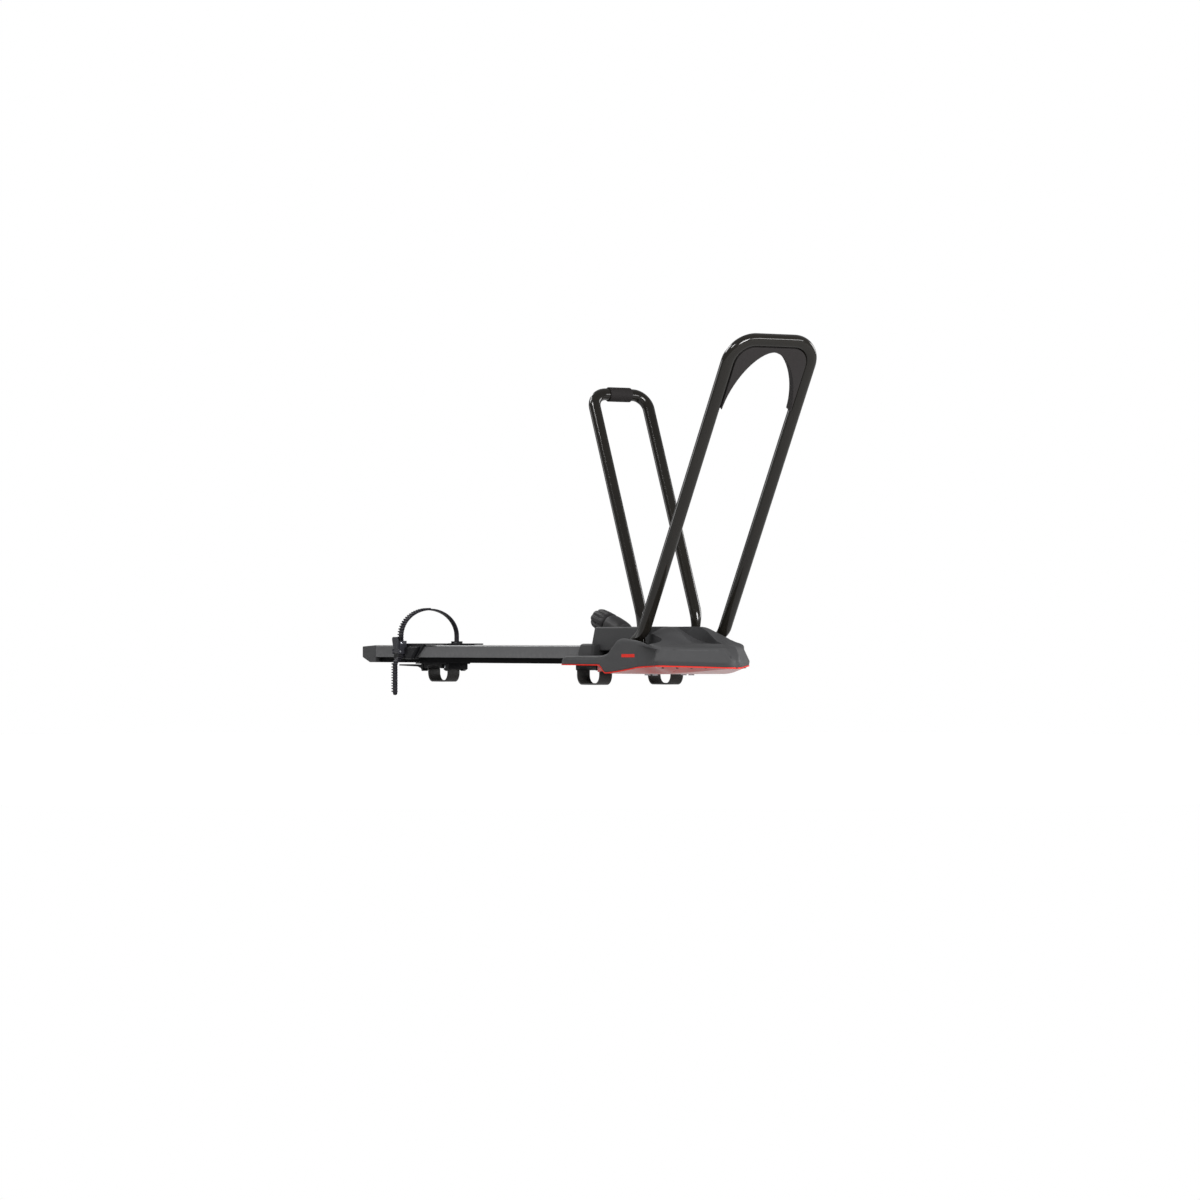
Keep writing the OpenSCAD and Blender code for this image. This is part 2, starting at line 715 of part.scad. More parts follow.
// The band from the eye, round the bar and up to a height behind it, then backward for a length
module bar_band(up, back) {
    outer = loop_r + strap_t;
    low = -bar_h - bar_clear;
    mid = loop_x - loop_r;
    difference() {
        rod_y(eye_x, eye_z, -strap_w / 2, strap_w / 2, eye_r);
        rod_y(eye_x, eye_z, -strap_w, strap_w, pin_r + fit);
        box([loop_x - 3, -strap_w, -bar_h], [loop_x, strap_w, 10]);
    }
    box([loop_x, -strap_w / 2, -bar_h / 2], [loop_x + strap_t, strap_w / 2, eye_z]);
    box([-mid, -strap_w / 2, low - strap_t], [mid, strap_w / 2, low]);
    for (side = [-1, 1]) intersection() {
        ring_y(side * mid, -bar_h / 2, -strap_w / 2, strap_w / 2, outer, loop_r);
        box([side > 0 ? mid : -far, -strap_w, -far], [side > 0 ? far : -mid, strap_w, -bar_h / 2]);
    }
    box([-loop_x - strap_t, -strap_w / 2, -bar_h / 2], [-loop_x, strap_w / 2, up]);
    bend_x = -loop_x - strap_t - hook_bend;
    intersection() {
        ring_y(bend_x, up, -strap_w / 2, strap_w / 2, hook_bend + strap_t, hook_bend);
        box([bend_x, -strap_w, up], [far, strap_w, far]);
    }
    box([bend_x - back, -strap_w / 2, up + hook_bend], [bend_x, strap_w / 2, up + hook_bend + strap_t]);
}
module front_band() {
    bar_band(hook_z, hook_len);
    rod_y(hook_x, hook_top, -hook_half, hook_half, hook_r);
}
module near_bar_strap() {
    color([0.20, 0.20, 0.21]) translate([0, -strap_y, 0]) front_band();
}
module far_bar_strap() {
    color([0.20, 0.20, 0.21]) translate([0, strap_y, 0]) front_band();
}
stud_r = 3;
rear_up = -11;
stud_z = rear_up + hook_bend + strap_t / 2;
lever_x = -(bar_w / 2 + 40);
lever_pin_r = 2.5;
lever_eye = 4;
module rear_bar_strap() {
    color([0.20, 0.20, 0.21]) translate([rear_x, 0, 0]) {
        bar_band(rear_up, 7);
        rod_x(0, stud_z, lever_x + 4, -loop_x - strap_t - hook_bend - 4, stud_r);
        ring_y(lever_x, stud_z, -lever_eye, lever_eye, 5.5, lever_pin_r + fit);
    }
}
module rear_lever_pin() {
    color([0.6, 0.6, 0.62]) translate([rear_x, 0, 0]) rod_y(lever_x, stud_z, -9, 9, lever_pin_r);
}
module rear_clamp_lever() {
    cheek = lever_eye + gap;
    out = 9;
    length = 94;
    arm = [[lever_x, stud_z - 4], [lever_x, stud_z + 5], [lever_x - 14, stud_z + 5.5],
        [lever_x - length, stud_z + 5.5],
        [lever_x - length, stud_z + 2.5], [lever_x - 20, stud_z + 1]];
    color([0.12, 0.12, 0.13]) translate([rear_x, 0, 0]) difference() {
        union() {
            prism_y(arm, -out, out);
            rod_y(lever_x, stud_z, -out, out, 6.2);
            box([lever_x - length, -14, stud_z + 2.5], [lever_x - length + 24, 14, stud_z + 5.5]);
        }
        box([lever_x - 8, -cheek, -far], [far, cheek, far]);
        rod_y(lever_x, stud_z, -far, far, lever_pin_r + fit);
    }
}
plate_top = seat_z - gap;
plate_low = plate_top - 2.5;
module rear_clamp_body() {
    slide_half = 60;
    plate_half = 28;
    lug_rear = lever_x + 7;
    front_end = eye_x + 16;
    lug = [[loop_x + 0.5, plate_low], [front_end, plate_low], [front_end, eye_z - 4], [eye_x + 4, eye_z - 8],
        [loop_x + 0.5, eye_z - eye_r]];
    rear_lug = [[lug_rear, plate_top], [lug_rear + 2, stud_z - 8], [lug_rear + 9, stud_z - 8],
        [lug_rear + 9, plate_top]];
    color([0.08, 0.08, 0.09]) translate([rear_x, 0, 0]) difference() {
        union() {
            box([-slide_half, -track_in + 0.4, seat_z + track_lip + gap],
                [slide_half, track_in - 0.4, tray_z - 2 - gap]);
            box([-slide_half, -track_slot + 0.4, plate_low],
                [slide_half, track_slot - 0.4, tray_z - 2 - gap]);
            box([lug_rear, -plate_half, plate_low], [front_end, plate_half, plate_top]);
            both_sides() prism_y(lug, lug_in, lug_in + lug_t + 5);
            prism_y([[eye_x + 8, plate_top], [front_end, plate_top], [front_end, eye_z - 4],
                [eye_x + 8, eye_z - 4]], -lug_in - 1, lug_in + 1);
            prism_y(rear_lug, -15, 15);
        }
        rod_y(eye_x, eye_z, -far, far, pin_r + fit);
        box([-far, -stud_r - 0.8, -far], [-loop_x, stud_r + 0.8, stud_z + stud_r + 0.8]);
    }
}
module rear_bar_pad() {
    color([0.10, 0.10, 0.11]) translate([rear_x, 0, 0]) saddle(26, plate_low);
}
module rear_strap_pin() {
    color([0.6, 0.6, 0.62]) translate([rear_x, 0, 0])
        rod_y(eye_x, eye_z, -lug_in - lug_t - 5, lug_in + lug_t + 5, pin_r);
}

// Rear wheel cradle, strap and buckle

cradle_t = 3.6;
cradle_in = tray_half + 0.4;
cradle_out = cradle_in + cradle_t;
band_y = cradle_out + 3 + 0.6 + band_t / 2;
arch_z = tray_top + arch_h;
arch_foot = tray_top + 19;
module wheel_cradle() {
    low = tray_z - gap - 3.4;
    top = tray_top + 0.4 + 3.2;
    side = [[band_x - 44, low], [band_x - 44, top], [band_x + 128, top], [band_x + 128, top - 3],
        [band_x + 92, top - 3.2], [band_x + 50, low]];
    color([0.08, 0.08, 0.09]) difference() {
        prism_y(side, -cradle_out, cradle_out);
        box([-far * 5, -cradle_in, tray_z - gap], [far, cradle_in, tray_top + 0.4]);
        box([-far * 5, -track_half - 0.5, 0], [far, track_half + 0.5, tray_z]);
    }
}
module wheel_strap() {
    half = band_w / 2;
    rx = band_y;
    rz = arch_z - arch_foot - band_t / 2;
    low = tray_top - tail_drop;
    end_z = tray_top + 2;
    rib_h = 1.1;
    rib_w = 2.4;
    rib_step = 5;
    tail_y = band_y + 14;
    slant_top = lever_z - 9;
    slant_low = slant_top - 18;
    tail = [[-band_y + band_t / 2, arch_foot], [-band_y - band_t / 2, arch_foot],
        [-band_y - band_t / 2, slant_top],
        [-tail_y - band_t / 2, slant_low], [-tail_y - band_t / 2, low], [-tail_y + band_t / 2, low],
        [-tail_y + band_t / 2, slant_low], [-band_y + band_t / 2, slant_top]];
    tail_ribs = floor((slant_low - low) / rib_step);
    leg_ribs = floor((arch_foot - slant_top) / rib_step);
    outline = concat(
        oval(0, arch_foot, rx + band_t / 2, rz + band_t / 2, 0, 180, 32),
        oval(0, arch_foot, rx - band_t / 2, rz - band_t / 2, 180, 0, 32));
    color([0.16, 0.16, 0.18]) difference() {
        union() {
            prism_x(outline, band_x - half, band_x + half);
            prism_x(tail, band_x - half, band_x + half);
            box([band_x - half, band_y - band_t / 2, end_z], [band_x + half, band_y + band_t / 2, arch_foot]);
            rod_x(band_y, end_z, band_x - half, band_x + half, 4);
            for (i = [1:tail_ribs])
                box([band_x - half + 3, -tail_y - band_t / 2 - rib_h, low + i * rib_step - rib_w],
                    [band_x + half - 3, -tail_y, low + i * rib_step]);
            for (i = [1:leg_ribs])
                box([band_x - half + 3, -band_y - band_t / 2 - rib_h, slant_top + i * rib_step - rib_w],
                    [band_x + half - 3, -band_y, slant_top + i * rib_step]);
            for (a = [98:4.5:178])
                translate([0, rx * cos(a), arch_foot + rz * sin(a)])
                    rotate([atan2(rz * sin(a), rx * cos(a)), 0, 0])
                    box([band_x - half + 3, 0, -rib_w / 2],
                        [band_x + half - 3, band_t / 2 + rib_h, rib_w / 2]);
        }
        rod_x(band_y, end_z, -far * 5, far, 2 + fit);
    }
}
ear_in = band_w / 2 + gap;
ear_t = 3.4;
module strap_clip() {
    base = 28;
    end_z = tray_top + 2;
    color([0.08, 0.08, 0.09]) difference() {
        union() {
            box([band_x - base, cradle_out, end_z - 8], [band_x + base, cradle_out + 1.2, end_z + 2]);
            for (x = [band_x - ear_in - ear_t, band_x + ear_in])
                box([x, cradle_out, end_z - 8], [x + ear_t, band_y + 6, end_z + 6]);
        }
        rod_x(band_y, end_z, -far * 5, far, 2 + fit);
    }
}
module strap_anchor_pin() {
    color([0.6, 0.6, 0.62]) rod_x(band_y, tray_top + 2, band_x - ear_in - ear_t, band_x + ear_in + ear_t, 2);
}
lever_y = -(band_y + 9.5);
lever_z = tray_top - 13;
release_y = -(band_y + 6.9);
release_z = tray_top + 5;
pivot_r = 2;
release_pin_r = 1.4;
module buckle_frame() {
    color([0.09, 0.09, 0.10]) difference() {
        union() {
            box([band_x - ear_in - ear_t, -cradle_out - 3, lever_z - 9],
                [band_x + ear_in + ear_t, -cradle_out, tray_top + 2]);
            for (x = [band_x - ear_in - ear_t, band_x + ear_in]) {
                box([x, lever_y - 4, lever_z - 5], [x + ear_t, -cradle_out, lever_z + 5]);
                box([x, release_y - 3.5, lever_z - 5], [x + ear_t, -cradle_out, release_z + 4]);
            }
        }
        rod_x(lever_y, lever_z, -far * 5, far, pivot_r + fit);
        rod_x(release_y, release_z, -far * 5, far, release_pin_r + fit);
    }
}
module buckle_pins() {
    color([0.6, 0.6, 0.62]) {
        rod_x(lever_y, lever_z, band_x - ear_in - ear_t, band_x + ear_in + ear_t, pivot_r);
        rod_x(release_y, release_z, band_x - ear_in - ear_t, band_x + ear_in + ear_t, release_pin_r);
    }
}
module buckle_lever() {
    half = ear_in - gap;
    side = [[lever_y - 2, lever_z], [lever_y - 5, lever_z + 16], [lever_y - 7, lever_z + 30],
        [lever_y - 3, lever_z + 30],
        [lever_y - 1, lever_z + 16], [lever_y + 2.6, lever_z]];
    color([0.09, 0.09, 0.10]) difference() {
        union() {
            prism_x(side, band_x - half, band_x + half);
            rod_x(lever_y, lever_z, band_x - half, band_x + half, 4);
        }
        rod_x(lever_y, lever_z, -far * 5, far, pivot_r + fit);
    }
}
module buckle_release() {
    half = ear_in - gap;
    side = [[release_y - 1.5, release_z], [release_y + 1.5, release_z], [release_y + 1, release_z + 12],
        [release_y - 1.4, release_z + 12]];
    color([0.09, 0.09, 0.10]) difference() {
        union() {
            prism_x(side, band_x - half, band_x + half);
            rod_x(release_y, release_z, band_x - half, band_x + half, 2.6);
        }
        rod_x(release_y, release_z, -far * 5, far, release_pin_r + fit);
    }
}

head_pan();
head_cover();
pivot_bracket();
bracket_bolts();
hoop_axle();
axle_nuts();
axle_spacers();
front_bar_pad();
strap_pins();
knob_collar();
tray_channel();
tray_track();
tray_bolts();
end_cap();
pan_screws();
front_hoop();
front_hoop_pad();
front_hoop_bushes();
rear_hoop();
rear_hoop_pad();
rear_hoop_bushes();
knob_grip();
knob_screw();
clamp_yoke();
near_bar_strap();
far_bar_strap();
rear_clamp_body();
rear_bar_pad();
rear_strap_pin();
rear_bar_strap();
rear_lever_pin();
rear_clamp_lever();
wheel_cradle();
wheel_strap();
strap_clip();
strap_anchor_pin();
buckle_frame();
buckle_pins();
buckle_lever();
buckle_release();
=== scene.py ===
"""Looks of the roof mounted carrier: smooth shells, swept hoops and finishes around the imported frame."""

import json
import logging
import math
from collections.abc import Callable
from dataclasses import dataclass, field, fields
from enum import Enum

import bmesh
import bpy
from mathutils import Matrix, Vector

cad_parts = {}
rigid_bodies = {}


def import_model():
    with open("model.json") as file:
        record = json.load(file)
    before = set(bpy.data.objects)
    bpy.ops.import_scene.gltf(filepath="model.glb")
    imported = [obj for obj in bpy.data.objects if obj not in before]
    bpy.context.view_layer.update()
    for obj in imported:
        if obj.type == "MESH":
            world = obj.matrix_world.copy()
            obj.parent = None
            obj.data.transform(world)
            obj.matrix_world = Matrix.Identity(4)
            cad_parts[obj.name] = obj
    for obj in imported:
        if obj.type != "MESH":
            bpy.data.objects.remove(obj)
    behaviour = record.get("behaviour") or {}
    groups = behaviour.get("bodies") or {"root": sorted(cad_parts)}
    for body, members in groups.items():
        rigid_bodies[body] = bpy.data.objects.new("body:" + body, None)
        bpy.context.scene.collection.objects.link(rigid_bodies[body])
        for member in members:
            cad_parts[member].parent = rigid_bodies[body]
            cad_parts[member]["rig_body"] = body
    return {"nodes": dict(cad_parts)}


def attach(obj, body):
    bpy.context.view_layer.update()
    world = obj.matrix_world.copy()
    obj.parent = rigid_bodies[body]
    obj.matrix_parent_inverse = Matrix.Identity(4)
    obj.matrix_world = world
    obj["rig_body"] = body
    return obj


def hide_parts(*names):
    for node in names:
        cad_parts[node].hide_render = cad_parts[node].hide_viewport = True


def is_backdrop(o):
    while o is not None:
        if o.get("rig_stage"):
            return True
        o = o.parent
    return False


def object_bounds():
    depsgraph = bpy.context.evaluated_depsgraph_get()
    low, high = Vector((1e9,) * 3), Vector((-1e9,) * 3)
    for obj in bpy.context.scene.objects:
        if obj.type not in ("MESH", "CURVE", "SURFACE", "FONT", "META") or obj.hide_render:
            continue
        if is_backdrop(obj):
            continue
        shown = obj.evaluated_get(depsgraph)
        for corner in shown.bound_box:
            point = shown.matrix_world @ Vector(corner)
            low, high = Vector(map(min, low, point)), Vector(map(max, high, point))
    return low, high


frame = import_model()

LOG = logging.getLogger("carrier")
MM = 0.001
UP_MM = Vector((0.0, 0.0, MM))
MERGE = 0.00001
FLAT_ANGLE = math.radians(0.6)
CORNER_ANGLE = math.radians(28.0)
MOST_OF_SIDE = 0.46
UNDER_MARK = 1
SIDES = (-1, 1)
FRAME_BODY = "carrier_frame"

Point = tuple[float, float]
Place = tuple[float, float, float]
Ring = list[Vector]
Solid = bmesh.types.BMesh
Socket = bpy.types.NodeSocket


# Node trees

class Tree:
    """Adds and joins nodes in one node tree."""

    NOISE_ROUGHNESS = 0.55
    MIX_COLOURS = (6, 7)
    MIX_RESULT = 2

    def __init__(self, tree: bpy.types.NodeTree) -> None:
        """Keeps the tree that nodes are added to."""
        self.tree = tree

    def add(self, kind: str, inputs: dict | None = None, **settings: object) -> bpy.types.Node:
        """Adds a node.

        Args:
            kind: Blender's name of the node type.
            inputs: values or sockets for the node's inputs, by socket name or place.
            settings: attributes of the node itself.

        Returns:
            The new node.
        """
        node = self.tree.nodes.new(kind)
        for key, value in settings.items():
            setattr(node, key, value)
        for key, value in (inputs or {}).items():
            self.give(node.inputs[key], value)
        return node

    def give(self, socket: Socket, value: object) -> None:
        """Joins a socket to an input, or sets the input's own value.

        Args:
            socket: the input.
            value: the socket that is joined to it, or its value.
        """
        if isinstance(value, Socket):
            self.tree.links.new(value, socket)
        else:
            socket.default_value = value

    def math(self, operation: str, first: object, second: object = 0.0) -> Socket:
        """Adds a math node and returns its output."""
        return self.add("ShaderNodeMath", {0: first, 1: second}, operation=operation).outputs[0]

    def spread(self, value: object, low: object, high: object, to_low: float = 0.0,
               to_high: float = 1.0) -> Socket:
        """Maps a value from one range to another, held inside the second.

        Args:
            value: the socket to read.
            low: start of the range that is read.
            high: end of the range that is read.
            to_low: result at the start.
            to_high: result at the end.

        Returns:
            The mapped value.
        """
        ends = {"Value": value, "From Min": low, "From Max": high, "To Min": to_low, "To Max": to_high}
        return self.add("ShaderNodeMapRange", ends).outputs["Result"]

    def noise(self, vector: object, scale: object, detail: float = 2.0) -> Socket:
        """Adds a noise texture and returns its value."""
        values = {"Vector": vector, "Scale": scale, "Detail": detail, "Roughness": self.NOISE_ROUGHNESS}
        return self.add("ShaderNodeTexNoise", values).outputs["Fac"]

    def mix(self, factor: object, first: object, second: object) -> Socket:
        """Mixes two colours.

        Args:
            factor: share of the second colour.
            first: the first colour.
            second: the second colour.

        Returns:
            The mixed colour.
        """
        node = self.add("ShaderNodeMix", data_type="RGBA")
        self.give(node.inputs["Factor"], factor)
        for place, value in zip(self.MIX_COLOURS, (first, second)):
            self.give(node.inputs[place], value)
        return node.outputs[self.MIX_RESULT]


Inputs = dict[str, tuple[str, float | None]]
RELIEF = ["Height", "Tone"]
MASK = ["Mask"]


def group_inputs(**numbers: float) -> Inputs:
    """Describes the inputs of a group: a place, and numbers with their defaults."""
    described = {"Vector": ("NodeSocketVector", None)}
    return described | {label: ("NodeSocketFloat", default) for label, default in numbers.items()}


def new_group(name: str, inputs: Inputs, outputs: list[str]) -> tuple[Tree, object, object]:
    """Starts a shader node group.

    Args:
        name: the group's name.
        inputs: socket type and default by input name.
        outputs: names of the value outputs.

    Returns:
        The tree, and the nodes for its inputs and outputs.
    """
    group = bpy.data.node_groups.new(name, "ShaderNodeTree")
    for label, (kind, default) in inputs.items():
        socket = group.interface.new_socket(name=label, in_out="INPUT", socket_type=kind)
        if default is not None:
            socket.default_value = default
    for label in outputs:
        group.interface.new_socket(name=label, in_out="OUTPUT", socket_type="NodeSocketFloat")
    tree = Tree(group)
    return tree, tree.add("NodeGroupInput").outputs, tree.add("NodeGroupOutput").inputs


class Effects:
    """Node groups that several finishes share, each built once."""

    def __init__(self) -> None:
        """Builds every group."""
        self.grain = self._grain()
        self.lines = self._lines()
        self.peel = self._peel()
        self.edges = self._edges()
        self.rubs = self._rubs()

    def _grain(self) -> bpy.types.NodeTree:
        """Builds the fine pebbled grain of a spark eroded mould."""
        finer = 0.45
        pebble_share = 0.7
        fine_share = 0.5
        tree, given, out = new_group("moulded_grain", group_inputs(Scale=1500.0), RELIEF)
        cells = tree.add("ShaderNodeTexVoronoi", {"Vector": given["Vector"], "Scale": given["Scale"]})
        pebbles = tree.math("MULTIPLY", cells.outputs["Distance"], pebble_share)
        fine = tree.noise(given["Vector"], tree.math("MULTIPLY", given["Scale"], finer))
        tree.give(out["Height"], tree.math("ADD", pebbles, tree.math("MULTIPLY", fine, fine_share)))
        tree.give(out["Tone"], tree.noise(given["Vector"], scale=9.0, detail=4.0))
        return tree.tree

    def _lines(self) -> bpy.types.NodeTree:
        """Builds the die lines that run along an extrusion."""
        along = 1.2
        tree, given, out = new_group("extrusion_lines", group_inputs(Scale=900.0), RELIEF)
        stretch = tree.add("ShaderNodeCombineXYZ", {0: along, 1: given["Scale"], 2: given["Scale"]})
        both = {0: given["Vector"], 1: stretch.outputs[0]}
        placed = tree.add("ShaderNodeVectorMath", both, operation="MULTIPLY").outputs[0]
        tree.give(out["Height"], tree.noise(placed, scale=1.0, detail=3.0))
        tree.give(out["Tone"], tree.noise(given["Vector"], scale=6.0, detail=3.0))
        return tree.tree

    def _peel(self) -> bpy.types.NodeTree:
        """Builds the slight orange peel of a powder coat."""
        finer = 4.0
        fine_share = 0.15
        tree, given, out = new_group("coat_peel", group_inputs(Scale=260.0), RELIEF)
        broad = tree.noise(given["Vector"], given["Scale"], detail=1.0)
        fine = tree.noise(given["Vector"], tree.math("MULTIPLY", given["Scale"], finer), detail=1.0)
        tree.give(out["Height"], tree.math("ADD", broad, tree.math("MULTIPLY", fine, fine_share)))
        tree.give(out["Tone"], tree.noise(given["Vector"], scale=14.0, detail=3.0))
        return tree.tree

    def _edges(self) -> bpy.types.NodeTree:
        """Builds the mask of handled edges, from how sharply the surface turns. On most finishes it is wear;
        on the strap the same mask paints a highlight on the rib tops.
        """
        tree, given, out = new_group("handled_edges", group_inputs(Low=0.53, High=0.62), MASK)
        turn = tree.add("ShaderNodeNewGeometry").outputs["Pointiness"]
        sharp = tree.spread(turn, given["Low"], given["High"])
        patches = tree.noise(given["Vector"], scale=120.0, detail=4.0)
        broken = tree.spread(patches, low=0.35, high=0.7, to_low=0.25)
        tree.give(out["Mask"], tree.math("MULTIPLY", sharp, broken))
        return tree.tree

    def _rubs(self) -> bpy.types.NodeTree:
        """Builds the mask of faint rubs and smears, which change how rough a surface is."""
        turn = (0.3, 0.5, 0.4)
        stretch = (1.0, 7.0, 3.0)
        tree, given, out = new_group("faint_rubs", group_inputs(Scale=24.0), MASK)
        placed = {"Vector": given["Vector"], "Rotation": turn, "Scale": stretch}
        turned = tree.add("ShaderNodeMapping", placed)
        smear = tree.noise(turned.outputs["Vector"], given["Scale"], detail=5.0)
        tree.give(out["Mask"], tree.spread(smear, low=0.48, high=0.72))
        return tree.tree


class Surface(Enum):
    """Which small relief a finish has, by the name of its node group in Effects."""

    GRAIN = "grain"
    LINES = "lines"
    PEEL = "peel"


def linear(level: int) -> float:
    """Turns a display level from 0 to 255 into a linear value, by the sRGB formula."""
    share = level / 255.0
    return share / 12.92 if share <= 0.04045 else ((share + 0.055) / 1.055) ** 2.4


@dataclass(frozen=True)
class Finish:
    """One material: its colour, gloss and small relief."""

    name: str
    colour: tuple[int, int, int]
    slot: str
    rough: float
    surface: Surface = Surface.GRAIN
    metallic: float = 0.0
    coat: float = 0.0
    coat_rough: float = 0.12
    scale: float = 1500.0
    depth_mm: float = 0.05
    relief: float = 0.5
    tone: float = 0.10
    rough_spread: float = 0.10
    # edge and its gain lighten convex edges: real wear on most finishes, and a painted highlight on the
    # strap's rib tops.
    edge: float = 0.25
    edge_gain: float = 2.2
    specular: float = 0.22

    def shade(self, gain: float) -> tuple[float, float, float, float]:
        """Returns the colour, lighter or darker by a factor."""
        red, green, blue = (min(1.0, linear(level) * gain) for level in self.colour)
        return (red, green, blue, 1.0)

    def material(self, effects: Effects) -> bpy.types.Material:
        """Builds the material, or returns it where it is there already.

        Args:
            effects: the shared node groups.

        Returns:
            The material.
        """
        if self.name in bpy.data.materials:
            return bpy.data.materials[self.name]
        made = bpy.data.materials.new(self.name)
        made.use_nodes = True
        made.diffuse_color = self.shade(1.0)
        tree = Tree(made.node_tree)
        shader = made.node_tree.nodes["Principled BSDF"]
        place = tree.add("ShaderNodeTexCoord").outputs["Object"]
        groups = (getattr(effects, self.surface.value), effects.edges, effects.rubs)
        relief, edges, rubs = (tree.add("ShaderNodeGroup", node_tree=group) for group in groups)
        for node in (relief, edges, rubs):
            tree.give(node.inputs["Vector"], place)
        relief.inputs["Scale"].default_value = self.scale
        body = tree.mix(relief.outputs["Tone"], self.shade(1.0 - self.tone), self.shade(1.0 + self.tone))
        # Lighter convex edges: wear, and on the strap a painted highlight that lights whole ribs.
        wear_and_sheen_mask = tree.math("MULTIPLY", edges.outputs["Mask"], self.edge)
        rubbed = self.rough * (1.0 - self.rough_spread)
        bump = {"Height": relief.outputs["Height"], "Strength": self.relief, "Distance": self.depth_mm * MM}
        values = {
            "Base Color": tree.mix(wear_and_sheen_mask, body, self.shade(self.edge_gain)),
            "Roughness": tree.spread(rubs.outputs["Mask"], 0.0, 1.0, self.rough, rubbed),
            "Metallic": self.metallic,
            "Coat Weight": self.coat,
            "Coat Roughness": self.coat_rough,
            "Specular IOR Level": self.specular,
            "Normal": tree.add("ShaderNodeBump", bump).outputs["Normal"],
        }
        for label, value in values.items():
            tree.give(shader.inputs[label], value)
        return made


class Finishes:
    """Every finish of the carrier."""

    cover = Finish("cover_moulding", (58, 58, 59), "grey_plastic", 0.56, scale=1300.0, specular=0.16)
    # Lit and shaded copies of one red plastic: the pan's darker red is painted shade for its downward slope,
    # and the lip's lighter red is a painted highlight on the rim.
    pan = Finish("red_pan_moulding", (168, 52, 43), "red_plastic", 0.3, scale=900.0, depth_mm=0.02,
                 edge=0.10, coat=0.25, specular=0.4)
    lip = Finish("red_lip_moulding", (206, 46, 36), "red_plastic", 0.6, scale=1300.0, depth_mm=0.03,
                 edge=0.0, specular=0.05)
    mark = Finish("plain_red_mark", (204, 50, 42), "red_plastic", 0.6, depth_mm=0.02, edge=0.0,
                  specular=0.05)
    paint = Finish("hoop_coat", (24, 22, 19), "black_paint", 0.13, Surface.PEEL, scale=260.0, depth_mm=0.003,
                   edge=0.05, coat=0.45, specular=0.1)
    pad = Finish("hoop_pad_moulding", (41, 39, 39), "black_plastic", 0.62, scale=1100.0, depth_mm=0.06,
                 specular=0.08)
    sleeve = Finish("hoop_sleeve_rubber", (38, 36, 36), "black_rubber", 0.66, scale=900.0, depth_mm=0.08,
                    specular=0.08)
    knob = Finish("knob_moulding", (38, 37, 38), "grey_plastic", 0.5, scale=1600.0, specular=0.12)
    tray = Finish("tray_coat", (78, 78, 79), "grey_aluminium", 0.32, Surface.LINES, scale=900.0,
                  depth_mm=0.02, tone=0.06, specular=0.14)
    track = Finish("track_anodised", (14, 14, 15), "black_aluminium", 0.6, Surface.LINES, scale=900.0,
                   depth_mm=0.02, specular=0.02)
    black = Finish("black_moulding", (20, 20, 22), "black_plastic", 0.46, specular=0.08)
    buckle = Finish("buckle_moulding", (42, 42, 47), "black_plastic", 0.38, depth_mm=0.04, specular=0.14)
    # The full edge mask at a fourfold gain paints the strap's rib tops light: a painted highlight against the
    # dark grooves, not wear.
    strap = Finish("wheel_strap_moulding", (22, 21, 25), "strap_plastic", 0.42, scale=1200.0, depth_mm=0.03,
                   edge=1.0, edge_gain=4.0, specular=0.08)
    band = Finish("coated_band", (44, 43, 42), "black_steel", 0.46, Surface.PEEL, scale=500.0, depth_mm=0.04)
    rubber = Finish("saddle_rubber", (24, 24, 25), "black_rubber", 0.74, scale=800.0, depth_mm=0.08, edge=0.1)
    steel = Finish("zinc_plate", (168, 170, 174), "plain_steel", 0.32, Surface.LINES, metallic=1.0,
                   scale=700.0, depth_mm=0.02)
    screw = Finish("black_screw", (30, 30, 31), "black_steel", 0.35, Surface.PEEL, metallic=0.6,
                   depth_mm=0.02)
    bush = Finish("bearing_plastic", (205, 203, 195), "pale_plastic", 0.48, depth_mm=0.02, edge=0.0)


# Curves and outlines

def shares(count: int) -> list[float]:
    """Divides the way from 0 to 1 into equal steps."""
    return [step / count for step in range(count + 1)]


def between(low: float, high: float, share: float) -> float:
    """Returns the value at a share of the way from one value to another."""
    return low + (high - low) * share


def eased(x: float, low: float, high: float) -> float:
    """Rises smoothly from 0 at one place to 1 at another."""
    t = max(0.0, min(1.0, (x - low) / (high - low)))
    return t * t * (3 - 2 * t)


def smooth_value(xs: list[float], values: list[float], x: float) -> float:
    """Reads a smooth curve through values, which never swings past them.

    Args:
        xs: where the values stand.
        values: the values.
        x: where to read.

    Returns:
        The value there.
    """
    rises = [(values[i + 1] - values[i]) / (xs[i + 1] - xs[i]) for i in range(len(xs) - 1)]
    slopes = [rises[0]]
    for before, after in zip(rises, rises[1:]):
        slopes.append(2 * before * after / (before + after) if before * after > 0 else 0.0)
    slopes.append(rises[-1])
    i = max(0, min(len(xs) - 2, sum(1 for place in xs if place <= x) - 1))
    span = xs[i + 1] - xs[i]
    t = (x - xs[i]) / span
    start = values[i] * (1 + 2 * t) * (1 - t) ** 2 + slopes[i] * span * t * (1 - t) ** 2
    return start + values[i + 1] * t * t * (3 - 2 * t) + slopes[i + 1] * span * t * t * (t - 1)


def headings(places: list[Vector]) -> list[Vector]:
    """Returns the way a line runs at each of its points, from one neighbour to the other."""
    last = len(places) - 1
    return [places[min(i + 1, last)] - places[max(i - 1, 0)] for i in range(len(places))]


def mirrored(points: list[Point]) -> list[Point]:
    """Continues an outline that ends on the middle line with its mirror image."""
    return points + [(-across, height) for across, height in reversed(points[:-1])]


